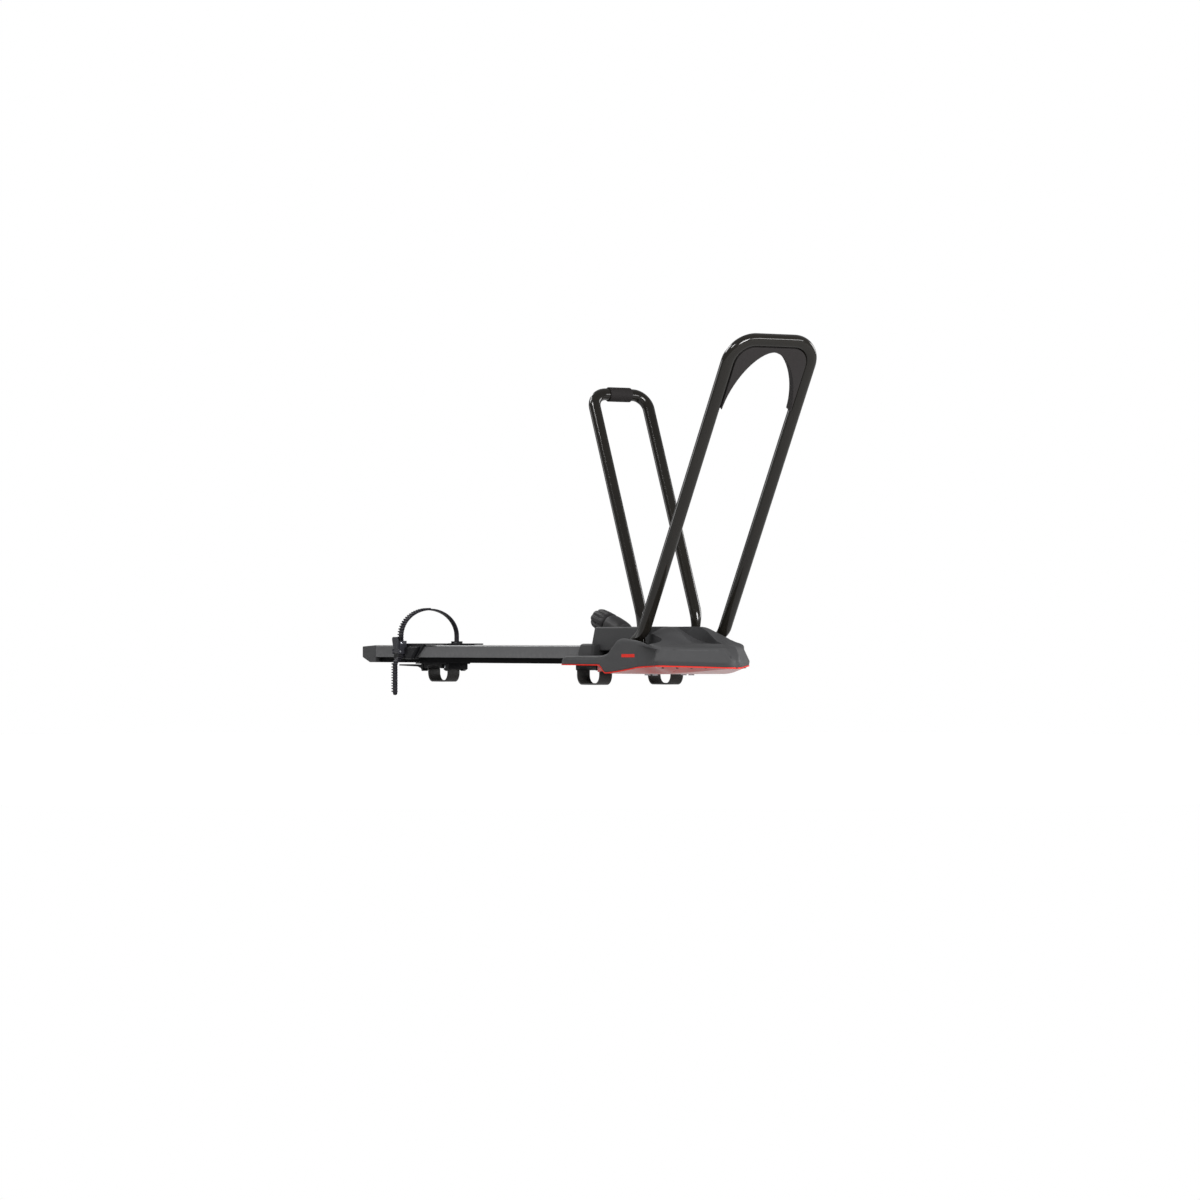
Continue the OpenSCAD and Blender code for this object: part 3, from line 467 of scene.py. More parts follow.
def rounded(before: Point, corner: Point, after: Point, reach: float, steps: int) -> list[Point]:
    """Rounds one corner of an outline.

    Args:
        before: the point ahead of the corner.
        corner: the corner itself.
        after: the point that follows it.
        reach: how far the rounding reaches along each side.
        steps: how many pieces the rounding has.

    Returns:
        The points that stand for the corner.
    """
    middle = Vector(corner)
    arms = []
    for other in (before, after):
        arm = Vector(other) - middle
        arms.append(middle + arm * min(reach / max(arm.length, MERGE), MOST_OF_SIDE))
    made = []
    for share in shares(steps):
        point = arms[0] * (1 - share) ** 2 + middle * (2 * share * (1 - share)) + arms[1] * share ** 2
        made.append((point.x, point.y))
    return made


# Solids

def skin(bm: Solid, rings: list[Ring], bottom: tuple[int, int] | None = None) -> None:
    """Skins rings of equal length into a closed solid. One ring is drawn and each next one extruded from it.

    Args:
        bm: the mesh to add to.
        rings: the places of each ring's points.
        bottom: the pair of neighbouring points whose faces are marked as the underside.
    """
    size = len(rings[0])
    line = [bm.verts.new(place) for place in rings[0]]
    first = line
    for i in range(size):
        bm.edges.new((line[i], line[(i + 1) % size]))
    for ring in rings[1:]:
        edges = [bm.edges.get((line[i], line[(i + 1) % size])) for i in range(size)]
        made = bmesh.ops.extrude_edge_only(bm, edges=edges)
        fresh = {item for item in made["geom"] if isinstance(item, bmesh.types.BMVert)}
        moved = []
        for vert, place in zip(line, ring):
            follower = next(e.other_vert(vert) for e in vert.link_edges if e.other_vert(vert) in fresh)
            follower.co = place
            moved.append(follower)
        if bottom:
            edge = bm.edges.get([line[i] for i in bottom])
            opposite = {moved[i] for i in bottom}
            for face in edge.link_faces:
                if opposite <= set(face.verts):
                    face.material_index = UNDER_MARK
        line = moved
    bm.faces.new(first)
    bm.faces.new(line)
    bmesh.ops.recalc_face_normals(bm, faces=bm.faces)


def spun(bm: Solid, outline: list[Vector], axis: Place, steps: int, closed: bool = False) -> None:
    """Spins an outline once round an axis through the origin.

    Args:
        bm: the mesh to add to.
        outline: its points.
        axis: the axis.
        steps: how many pieces the turn has.
        closed: whether the last point is joined to the first.
    """
    verts = [bm.verts.new(place) for place in outline]
    pairs = list(zip(verts, verts[1:]))
    if closed:
        pairs.append((verts[-1], verts[0]))
    edges = [bm.edges.new(pair) for pair in pairs]
    bmesh.ops.spin(bm, geom=verts + edges, cent=(0, 0, 0), axis=axis, dvec=(0, 0, 0), angle=2 * math.pi,
                   steps=steps, use_merge=True, use_duplicate=False)
    bmesh.ops.remove_doubles(bm, verts=bm.verts, dist=MERGE)


def prism(outline: list[Point], low: float, high: float, soft_mm: float = 0.0) -> Solid:
    """Extrudes an outline along y to a solid, in millimetres.

    Args:
        outline: the points, as x and z.
        low: where it starts.
        high: where it ends.
        soft_mm: how far its edges are rounded.

    Returns:
        The solid.
    """
    bm = bmesh.new()
    face = bm.faces.new([bm.verts.new(Vector((x, low, z)) * MM) for x, z in outline])
    made = bmesh.ops.extrude_face_region(bm, geom=[face])
    moved = [item for item in made["geom"] if isinstance(item, bmesh.types.BMVert)]
    bmesh.ops.translate(bm, vec=Vector((0, high - low, 0)) * MM, verts=moved)
    bmesh.ops.recalc_face_normals(bm, faces=bm.faces)
    if soft_mm:
        soften(bm, soft_mm, segments=3)
    return bm


def block(low: Place, high: Place, soft_mm: float = 0.0) -> Solid:
    """Makes a box between two corners in millimetres, with its edges rounded."""
    outline = [(low[0], low[2]), (high[0], low[2]), (high[0], high[2]), (low[0], high[2])]
    return prism(outline, low[1], high[1], soft_mm)


def rod(start: Vector, end: Vector, radius: float, sides: int = 48) -> Solid:
    """Makes a round bar between two places.

    Args:
        start: the middle of one end, in metres.
        end: the middle of the other end, in metres.
        radius: its radius, in metres.
        sides: how many sides it has.

    Returns:
        The solid.
    """
    bm = bmesh.new()
    axis = end - start
    place = Matrix.Translation((start + end) / 2) @ axis.to_track_quat("Z", "Y").to_matrix().to_4x4()
    bmesh.ops.create_cone(bm, cap_ends=True, segments=sides, radius1=radius, radius2=radius,
                          depth=axis.length, matrix=place)
    return bm


def round_edges(bm: Solid, edges: list[bmesh.types.BMEdge], width_mm: float, segments: int,
                clamp: bool = False) -> None:
    """Rounds some edges of a solid.

    Args:
        bm: the solid.
        edges: the edges.
        width_mm: how far the rounding reaches on each side.
        segments: how many pieces each rounding has.
        clamp: whether roundings that would meet are made narrower.
    """
    bmesh.ops.bevel(bm, geom=edges, offset=width_mm * MM, offset_type="OFFSET", affect="EDGES",
                    segments=segments, profile=0.5, material=-1, clamp_overlap=clamp)


def soften(bm: Solid, width_mm: float, segments: int = 2) -> None:
    """Rounds every sharp edge of a solid, as far as there is room."""
    corners = [e for e in bm.edges if len(e.link_faces) == 2 and e.calc_face_angle() > CORNER_ANGLE]
    round_edges(bm, corners, width_mm, segments, clamp=True)


def merged_copy(node: str) -> Solid:
    """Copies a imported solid, with its triangles joined into whole faces.

    Args:
        node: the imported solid's name.

    Returns:
        The copy.
    """
    bm = bmesh.new()
    bm.from_mesh(frame["nodes"][node].data)
    bmesh.ops.remove_doubles(bm, verts=bm.verts, dist=MERGE)
    bmesh.ops.dissolve_limit(bm, angle_limit=FLAT_ANGLE, verts=bm.verts, edges=bm.edges)
    return bm


def join(target: Solid, *others: Solid) -> None:
    """Moves other meshes into one.

    Args:
        target: the mesh to add to.
        others: the meshes that are used up.
    """
    for other in others:
        held = bpy.data.meshes.new("held")
        other.to_mesh(held)
        other.free()
        target.from_mesh(held)
        bpy.data.meshes.remove(held)


class Cut(Enum):
    """How a second solid changes the first."""

    ADD = "UNION"
    TAKE = "DIFFERENCE"


def carved(base: Solid, steps: list[tuple[Cut, Solid]]) -> Solid:
    """Adds solids to a solid, or takes them from it.

    Args:
        base: the solid to start from.
        steps: what is done, in order, with which solid.

    Returns:
        The carved solid.
    """
    held = []

    def stand(bm: Solid) -> bpy.types.Object:
        """Puts a mesh in the scene for a moment.

        Args:
            bm: the mesh, which is used up.

        Returns:
            Its object.
        """
        mesh = bpy.data.meshes.new("held")
        bm.to_mesh(mesh)
        bm.free()
        thing = bpy.data.objects.new("held", mesh)
        bpy.context.scene.collection.objects.link(thing)
        held.append(thing)
        return thing

    main_thing = stand(base)
    for cut, other in steps:
        modifier = main_thing.modifiers.new("cut", "BOOLEAN")
        modifier.operation = cut.value
        modifier.solver = "MANIFOLD"
        modifier.object = stand(other)
    shaped = main_thing.evaluated_get(bpy.context.evaluated_depsgraph_get())
    result = bmesh.new()
    result.from_mesh(shaped.to_mesh())
    shaped.to_mesh_clear()
    for thing in held:
        mesh = thing.data
        bpy.data.objects.remove(thing)
        bpy.data.meshes.remove(mesh)
    return result


# Finished pieces

@dataclass
class Workshop:
    """Turns meshes into finished pieces that ride on the carrier's bodies."""

    effects: Effects
    made: list[str] = field(default_factory=list)

    def piece(self, name: str, bm: Solid, finish: Finish, body: str, replaces: tuple[str, ...] = (),
              sharp_deg: float = 38.0, weighted: bool = True) -> bpy.types.Object:
        """Finishes one piece.

        Args:
            name: the piece's name.
            bm: its mesh, which is used up.
            finish: its material.
            body: the body it rides on.
            replaces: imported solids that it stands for.
            sharp_deg: edges that turn more than this stay sharp.
            weighted: whether large faces rule the shading.

        Returns:
            The finished object.
        """
        bmesh.ops.dissolve_degenerate(bm, edges=bm.edges, dist=MERGE)
        mesh = bpy.data.meshes.new(name)
        bm.to_mesh(mesh)
        bm.free()
        mesh.shade_smooth()
        mesh.set_sharp_from_angle(angle=math.radians(sharp_deg))
        mesh.materials.clear()
        mesh.materials.append(finish.material(self.effects))
        for polygon in mesh.polygons:
            polygon.material_index = 0
        thing = bpy.data.objects.new(name, mesh)
        bpy.context.scene.collection.objects.link(thing)
        if weighted:
            self.weigh(thing)
        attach(thing, body)
        if replaces:
            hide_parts(*replaces)
        self.made.append(name)
        LOG.info("%s: %d faces on %s", name, len(mesh.polygons), body)
        return thing

    def weigh(self, thing: bpy.types.Object) -> None:
        """Lets large faces rule the shading of a piece."""
        modifier = thing.modifiers.new("faces_first", "WEIGHTED_NORMAL")
        modifier.keep_sharp = True

    def soft_copy(self, node: str, finish: Finish, width_mm: float, segments: int = 2) -> None:
        """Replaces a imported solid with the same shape, its edges rounded.

        Args:
            node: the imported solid.
            finish: its material.
            width_mm: how far the rounding reaches.
            segments: how many pieces each rounding has.
        """
        bm = merged_copy(node)
        soften(bm, width_mm, segments)
        body = frame["nodes"][node]["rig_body"]
        self.piece(node + "_soft", bm, finish, body, (node,))

    def dress(self, finish: Finish, *nodes: str) -> None:
        """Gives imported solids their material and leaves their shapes.

        Args:
            finish: the material.
            nodes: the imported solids.
        """
        material = finish.material(self.effects)
        for node in nodes:
            thing = frame["nodes"][node]
            if not thing.material_slots:
                thing.data.materials.append(material)
            for slot in thing.material_slots:
                slot.link = "OBJECT"
                slot.material = material


# The head: cover, pan, mark and screws

@dataclass(frozen=True)
class Station:
    """One cross section of the head, in millimetres."""

    x: float
    half: float
    low: float
    shoulder: float
    top_half: float
    top: float
    keel_half: float
    keel: float
    draft: float = 1.2


# Each row follows the fields of Station, from the tail to the bow's tip.
HEAD_STATIONS = [
    Station(-98, 96, 5.2, 15, 60, 15.5, 90, 3),
    Station(-76, 102, 5.2, 21, 60, 21.5, 94, 3),
    Station(54, 102, 5.2, 22, 60, 22.5, 94, 3),
    Station(84, 103.6, -9.8, 26, 60, 27, 80, -12.6),
    Station(107, 103.6, -8.5, 40, 60, 42, 80, -12.6),
    Station(127, 103.6, -7.0, 52, 52, 61, 80, -12.6),
    Station(146, 103.6, -5.2, 55, 44, 77, 80, -12.6),
    Station(179, 103.6, -1.8, 53, 44, 77, 80, -12.6),
    Station(205, 103.6, 1.2, 50, 44, 76.5, 78, -12.6),
    Station(235, 103.2, 3.0, 45.5, 42, 68, 72, -12.6),
    Station(256, 102.8, 3.6, 42.5, 41, 57, 66, -12.0, 3.0),
    Station(270, 102, 4.0, 40, 40, 50, 62, -11.1, 15.5),
    Station(292, 85.4, 3.6, 39, 34, 44.5, 51.4, -9.6, 15.5),
    Station(366, 29.6, 1.4, 38, 9, 38.7, 14.8, -3.4, 15.5),
    Station(384, 16, 0.8, 25, 5, 25.5, 7, -2.6, 7.8),
    Station(392, 7, 0.7, 12.2, 3, 12.5, 3, -2.4, 2.4),
]


@dataclass
class Head:
    """The head: cover, red pan, plain marks and the pan's screws. Its sizes are in millimetres."""

    step: float = 6.0
    gap: float = 0.5
    tuck: float = 1.2
    tail_skirt: float = 1.5
    skirt: float = 7.6
    skirt_share: float = 0.4
    bow_start: Point = (215.0, 262.0)
    tip: Point = (376.0, 392.0)
    waist: float = 13.0
    waist_in: Point = (198.0, 240.0)
    waist_out: Point = (250.0, 265.0)
    waist_low: float = 0.6
    waist_edge: float = 0.8
    waist_hollow: float = 0.5
    side_shares: tuple[float, ...] = (0.2, 0.4, 0.6, 0.8)
    least_shoulder: float = 0.35
    inner_share: float = 0.8
    nose_r: float = 20.0
    nose_turns: tuple[float, ...] = (47.0, 57.0, 67.0, 77.0, 86.0)
    rise: tuple[Point, ...] = ((-75, 30), (-75, 41.5), (-62, 76.9), (152, 76.9), (152, 30))
    rise_half: float = 43.9
    sleeve: tuple[Point, ...] = ((-99.9, 5.3), (-102, 28), (-92, 44.5), (-43, 44.5), (-43, 5.3))
    sleeve_half: float = 59.4
    socket: tuple[Place, Place] = ((-130, -56.4, -6), (-47.7, 56.4, 41.5))
    scoop: tuple[Place, Place] = ((-130, -31, 44.6), (-12, 31, 120))
    wheel_middle: Point = (276.0, 386.0)
    wheel_r: float = 342.0
    wheel_half: float = 30.0
    pocket_x: Point = (90.0, 202.0)
    pocket_y: Point = (45.0, 100.4)
    pocket_z: Point = (12.0, 120.0)
    slot_x: Point = (196.0, 238.0)
    slot_y: Point = (73.0, 100.4)
    slot_z: Point = (43.0, 120.0)
    slot_end_r: float = 13.69
    wall: float = 1.4
    pan_rim: float = 1.9
    lug: tuple[Point, ...] = ((41.8, 4), (60, 4), (60, -6), (50, -9.5), (41.8, -9.5))
    lug_places: Point = (94.7, 63.3)
    lug_half: float = 1.8
    strap_x: Point = (-74.0, -40.8)
    strap_y: Point = (61.0, 97.4)
    strap_z: Point = (-30.0, 30.0)
    lip_out: float = 0.3
    lip_gap: float = 0.1
    lip_high: float = 2.2
    mark_x: Point = (145.0, 193.0)
    mark_y: float = 103.05
    mark_z: Point = (19.0, 25.0)
    mark_half: float = 0.5
    bow_x: Point = (270.0, 384.0)
    bow_half: Point = (102.0, 16.0)
    screw_row: float = 92.0
    screw_shares: tuple[float, ...] = (0.05, 0.3, 0.55, 0.8)
    screw_inset: float = 9.0
    screw_low: float = -1.8
    screw_long: float = 9.0
    screw_r: float = 2.5
    hexagon_r: float = 1.3
    hexagon_deep: float = 1.4
    stations: list[Station] = field(default_factory=list)

    def __post_init__(self) -> None:
        """Fills in the stations between the given ones, and rounds the nose."""
        xs = [s.x for s in HEAD_STATIONS]
        names = [f.name for f in fields(Station) if f.name != "x"]
        columns = {name: [getattr(s, name) for s in HEAD_STATIONS] for name in names}
        count = round((xs[-2] - xs[0]) / self.step)
        places = [(between(xs[0], xs[-2], share), None) for share in shares(count)]
        for turn in self.nose_turns:
            angle = math.radians(turn)
            places.append((xs[-1] - self.nose_r * (1 - math.sin(angle)), self.nose_r * math.cos(angle)))
        for x, nose_half in places:
            row = {name: smooth_value(xs, values, x) for name, values in columns.items()}
            row["half"] = nose_half or row["half"]
            self.stations.append(Station(x=x, **row))

    def dent(self, s: Station) -> float:
        """Returns how far the side is drawn in between the lobe and the bow."""
        return self.waist * eased(s.x, *self.waist_in) * (1 - eased(s.x, *self.waist_out))

    def lower_half(self, s: Station) -> float:
        """Returns the half width where cover and pan meet."""
        tuck = self.tuck * eased(s.x, *self.bow_start) * (1 - eased(s.x, *self.tip))
        return s.half - self.gap - tuck - self.waist_low * self.dent(s)

    def cover_outline(self, s: Station) -> list[Point]:
        """Draws a section of the cover, from its lower edge over its top to the other side.

        Args:
            s: the station.

        Returns:
            The outline, across and up.
        """
        skirt = between(self.tail_skirt, self.skirt, eased(s.x, *self.bow_start))
        dent = self.dent(s)
        low = (self.lower_half(s), s.low)
        edge_high = min(skirt, self.skirt_share * (s.shoulder - s.low))
        edge = (s.half - self.waist_edge * dent, s.low + edge_high)
        shoulder = (max(s.half - s.draft, self.least_shoulder * s.half), s.shoulder)
        crown = (min(s.top_half, self.inner_share * shoulder[0]), s.top)
        middle = (0.0, s.top)
        points = [low]
        points += rounded(low, edge, shoulder, reach=2.0, steps=2)
        for share in self.side_shares:
            place = Vector(edge).lerp(Vector(shoulder), share)
            points.append((place.x - self.waist_hollow * dent * math.sin(math.pi * share), place.y))
        points += rounded(edge, shoulder, crown, reach=7.0, steps=5)
        points += rounded(shoulder, crown, middle, reach=8.0, steps=4)
        points.append(middle)
        return mirrored(points)

    def pan_outline(self, s: Station) -> list[Point]:
        """Draws a section of the pan, from the middle of its keel round to the keel again.

        Args:
            s: the station.

        Returns:
            The outline, across and up.
        """
        half = self.lower_half(s) + self.gap
        middle = (0.0, s.keel)
        keel = (min(s.keel_half, self.inner_share * half), s.keel)
        edge = (half, s.low - self.pan_rim)
        points = [middle]
        points += rounded(middle, keel, edge, reach=5.0, steps=3)
        points += rounded(keel, edge, (half, s.low), reach=0.6, steps=2)
        points += [(half, s.low), (0.0, s.low)]
        return points + [(-across, height) for across, height in reversed(points[1:-1])]

    def lip_outline(self, s: Station) -> list[Point]:
        """Draws a section of the plate whose rim is the lip.

        Args:
            s: the station.

        Returns:
            The outline, across and up.
        """
        half = self.lower_half(s) + self.gap + self.lip_out
        low = s.low - self.lip_high
        top = s.low - self.lip_gap
        return [(half, low), (half, top), (-half, top), (-half, low)]

    def skinned(self, outline: Callable[[Station], list[Point]],
                bottom: tuple[int, int] | None = None) -> Solid:
        """Skins the sections of all stations into a solid.

        Args:
            outline: draws a station's section.
            bottom: the points of the outline between which the underside lies.

        Returns:
            The solid.
        """
        solid = bmesh.new()
        skin(solid, [[Vector((s.x, y, z)) * MM for y, z in outline(s)] for s in self.stations], bottom)
        return solid

    def cutters(self) -> list[Solid]:
        """Makes what is cut from the cover: tray socket, knob scoop, wheel trough and hoop pockets."""
        x, z = self.wheel_middle
        ends = [Vector((x, side * self.wheel_half, z)) * MM for side in SIDES]
        trough = rod(*ends, self.wheel_r * MM, sides=192)
        cuts = [block(*self.socket), block(*self.scoop, soft_mm=4.0), trough]
        for side in SIDES:
            cuts.append(self.side_block(side, self.pocket_x, self.pocket_y, self.pocket_z, soft_mm=3.0))
            slot = self.side_block(side, self.slot_x, self.slot_y, self.slot_z)
            middle = side * sum(self.slot_y) / 2
            foot, top = (Vector((self.slot_x[1], middle, z)) * MM for z in self.slot_z)
            cuts.append(carved(slot, [(Cut.ADD, rod(foot, top, self.slot_end_r * MM))]))
        return cuts

    def side_block(self, side: int, along: Point, across: Point, up: Point, soft_mm: float = 0.0) -> Solid:
        """Makes a box on one side of the head.

        Args:
            side: -1 for the near side, 1 for the far side.
            along: its ends in x.
            across: its ends in y on the far side.
            up: its ends in z.
            soft_mm: how far its edges are rounded.

        Returns:
            The solid.
        """
        near, out = sorted(side * y for y in across)
        return block((along[0], near, up[0]), (along[1], out, up[1]), soft_mm)

    def cover(self, shop: Workshop) -> None:
        """Builds the cover as a thin shell that is open below.

        Args:
            shop: makes the piece.
        """
        steps = [(Cut.ADD, prism(self.rise, -self.rise_half, self.rise_half, soft_mm=4.0)),
                 (Cut.ADD, prism(self.sleeve, -self.sleeve_half, self.sleeve_half, soft_mm=5.0))]
        steps += [(Cut.TAKE, cutter) for cutter in self.cutters()]
        shell = carved(self.skinned(self.cover_outline, (-1, 0)), steps)
        under = [f for f in shell.faces if f.material_index == UNDER_MARK]
        bmesh.ops.delete(shell, geom=under, context="FACES")
        bmesh.ops.remove_doubles(shell, verts=shell.verts, dist=MERGE)
        thing = shop.piece("head_cover_shell", shell, Finishes.cover, FRAME_BODY, ("head_cover",),
                           weighted=False)
        thick = thing.modifiers.new("wall", "SOLIDIFY")
        thick.thickness = self.wall * MM
        thick.offset = -1.0
        shop.weigh(thing)

    def strap_slots(self) -> list[tuple[Cut, Solid]]:
        """Makes the cuts in the pan that the front straps pass through."""
        return [(Cut.TAKE, self.side_block(side, self.strap_x, self.strap_y, self.strap_z, soft_mm=2.0))
                for side in SIDES]

    def pan(self, shop: Workshop) -> None:
        """Builds the red pan with the slots for the straps and the lugs of their pins.

        Args:
            shop: makes the piece.
        """
        steps = self.strap_slots()
        for side in SIDES:
            for middle in self.lug_places:
                y = side * middle
                steps.append((Cut.ADD, prism(self.lug, y - self.lug_half, y + self.lug_half, soft_mm=0.8)))
        hull = carved(self.skinned(self.pan_outline), steps)
        shop.piece("head_pan_hull", hull, Finishes.pan, FRAME_BODY, ("head_pan",), sharp_deg=32.0)

    def lip(self, shop: Workshop) -> None:
        """Builds the satin lip round the pan's rim, a hair outside the glossy hull. Its red is lighter than
        the hull's as a painted highlight on the rim.
        """
        plate = carved(self.skinned(self.lip_outline), self.strap_slots())
        shop.piece("head_pan_lip", plate, Finishes.lip, FRAME_BODY)

    def marks(self, shop: Workshop) -> None:
        """Lays a plain red bar on each side of the cover.

        Args:
            shop: makes the pieces.
        """
        for side, label in zip(SIDES, ("near", "far")):
            middle = side * self.mark_y
            bar = block((self.mark_x[0], middle - self.mark_half, self.mark_z[0]),
                        (self.mark_x[1], middle + self.mark_half, self.mark_z[1]))
            deep = [e for e in bar.edges if abs((e.verts[0].co - e.verts[1].co).y) > self.mark_half * MM]
            round_edges(bar, deep, width_mm=0.9, segments=3)
            shop.piece("plain_mark_" + label, bar, Finishes.mark, FRAME_BODY)

    def screws(self, shop: Workshop) -> None:
        """Builds the pan's screws, with domed heads and hexagon sockets.

        Args:
            shop: makes the piece.
        """
        bm = bmesh.new()
        start, end = self.bow_x
        for share in self.screw_shares:
            x = start + share * self.screw_row
            half = between(*self.bow_half, (x - start) / (end - start))
            for side in SIDES:
                foot = Vector((x, side * (half - self.screw_inset), self.screw_low)) * MM
                shaft = rod(foot, foot + UP_MM * self.screw_long, self.screw_r * MM, sides=24)
                soften(shaft, width_mm=0.5)
                hexagon = rod(foot - UP_MM, foot + UP_MM * self.hexagon_deep, self.hexagon_r * MM, sides=6)
                join(bm, carved(shaft, [(Cut.TAKE, hexagon)]))
        shop.piece("pan_screw_heads", bm, Finishes.screw, FRAME_BODY, ("pan_screws",))

    def build(self, shop: Workshop) -> None:
        """Builds the head in order.

        Args:
            shop: makes the pieces.
        """
        self.cover(shop)
        self.pan(shop)
        self.lip(shop)
        self.marks(shop)
        self.screws(shop)
        shop.soft_copy("front_bar_pad", Finishes.rubber, width_mm=0.8)


# Hoops

@dataclass
class Hoop:
    """One wheel hoop: a bent tube whose feet run down to the axle, in its own leaning frame."""

    name: str
    body: str
    half: float
    length: float
    bend: float
    offset: float
    lean_deg: float
    across: float
    tube: float
    start: float
    square: float
    pad: Finish
    foot: float = 12.0
    foot_steps: int = 18
    foot_first: int = 3
    swell_from: float = 0.35
    leg_shares: tuple[float, ...] = (0.25, 0.5, 0.75)
    bend_steps: int = 18
    eye: float = 14.0
    eye_edge: float = 0.8
    eye_steps: int = 48
    hole: float = 8.05
    pivot: Place = (148.0, 0.0, 34.0)
    sides: int = 40

    def place(self) -> Matrix:
        """Returns the matrix from the hoop's own frame to the carrier's."""
        turn = Matrix.Rotation(math.radians(self.lean_deg), 4, "Y")
        return Matrix.Translation(Vector(self.pivot) * MM) @ turn

    def section(self, wide: float, deep: float) -> list[Point]:
        """Draws the tube's section, rounder or squarer by the power of its formula.

        Args:
            wide: its size fore and aft.
            deep: its size across the leg.

        Returns:
            The points, fore and aft and across the leg.
        """
        power = 2.0 / self.square
        points = []
        for i in range(self.sides):
            turn = 2 * math.pi * i / self.sides
            fore, out = (math.copysign(abs(v) ** power, v) for v in (math.cos(turn), math.sin(turn)))
            points.append((wide / 2 * fore, deep / 2 * out))
        return points

    def path(self) -> list[tuple[Vector, Vector, float]]:
        """Lists the near half of the middle line.

        Returns:
            For each point its place, the direction across the leg and the tube's depth across the leg.
        """
        outward = Vector((0, -1, 0))
        rows = []
        for u in shares(self.foot_steps)[self.foot_first:]:
            x = self.offset * eased(u, 0.0, 1.0)
            depth = between(self.foot, self.tube, eased(u, self.swell_from, 1.0))
            rows.append((Vector((x, -self.half, self.start * u)), outward, depth))
        top = self.length - self.bend
        for share in self.leg_shares:
            height = between(self.start, top, share)
            rows.append((Vector((self.offset, -self.half, height)), outward, self.tube))
        middle = Vector((self.offset, -self.half + self.bend, top))
        for share in shares(self.bend_steps):
            turn = math.pi / 2 * share
            out = Vector((0, -math.cos(turn), math.sin(turn)))
            rows.append((middle + out * self.bend, out, self.tube))
        rows.append((Vector((self.offset, 0, self.length)), Vector((0, 0, 1)), self.tube))
        return rows

    def tube_mesh(self) -> Solid:
        """Sweeps the tube from foot to foot.

        Returns:
            The solid, in the hoop's own frame.
        """
        near = self.path()
        flip = Vector((1, -1, 1))
        row = near + [(place * flip, out * flip, depth) for place, out, depth in reversed(near[:-1])]
        rings = []
        for (middle, out, depth), ahead in zip(row, headings([place for place, _, _ in row])):
            fore = out.cross(ahead).normalized()
            rings.append([(middle + fore * a + out * b) * MM for a, b in self.section(self.across, depth)])
        bm = bmesh.new()
        skin(bm, rings)
        return bm

    def eyes(self) -> Solid:
        """Spins the eye at the end of each foot.

        Returns:
            Both eyes, in the hoop's own frame.
        """
        bm = bmesh.new()
        inner = self.eye - self.eye_edge
        for side in SIDES:
            low, high = (side * self.half + end * self.foot / 2 for end in SIDES)
            outline = [(self.hole, low), (inner, low), (self.eye, low + self.eye_edge),
                       (self.eye, high - self.eye_edge), (inner, high), (self.hole, high)]
            ring = [Vector((radius, y, 0)) * MM for radius, y in outline]
            spun(bm, ring, axis=(0, 1, 0), steps=self.eye_steps, closed=True)
        bmesh.ops.recalc_face_normals(bm, faces=bm.faces)
        return bm

    def build(self, shop: Workshop) -> None:
        """Builds the hoop and its pad, and dresses its bearings.

        Args:
            shop: makes the pieces.
        """
        bm = self.tube_mesh()
        join(bm, self.eyes())
        bmesh.ops.transform(bm, matrix=self.place(), verts=bm.verts)
        shop.piece(self.name + "_tube", bm, Finishes.paint, self.body, (self.name,), sharp_deg=40.0,
                   weighted=False)
        shop.dress(Finishes.bush, self.name + "_bushes")
        shop.soft_copy(self.name + "_pad", self.pad, width_mm=0.9)


# Knob

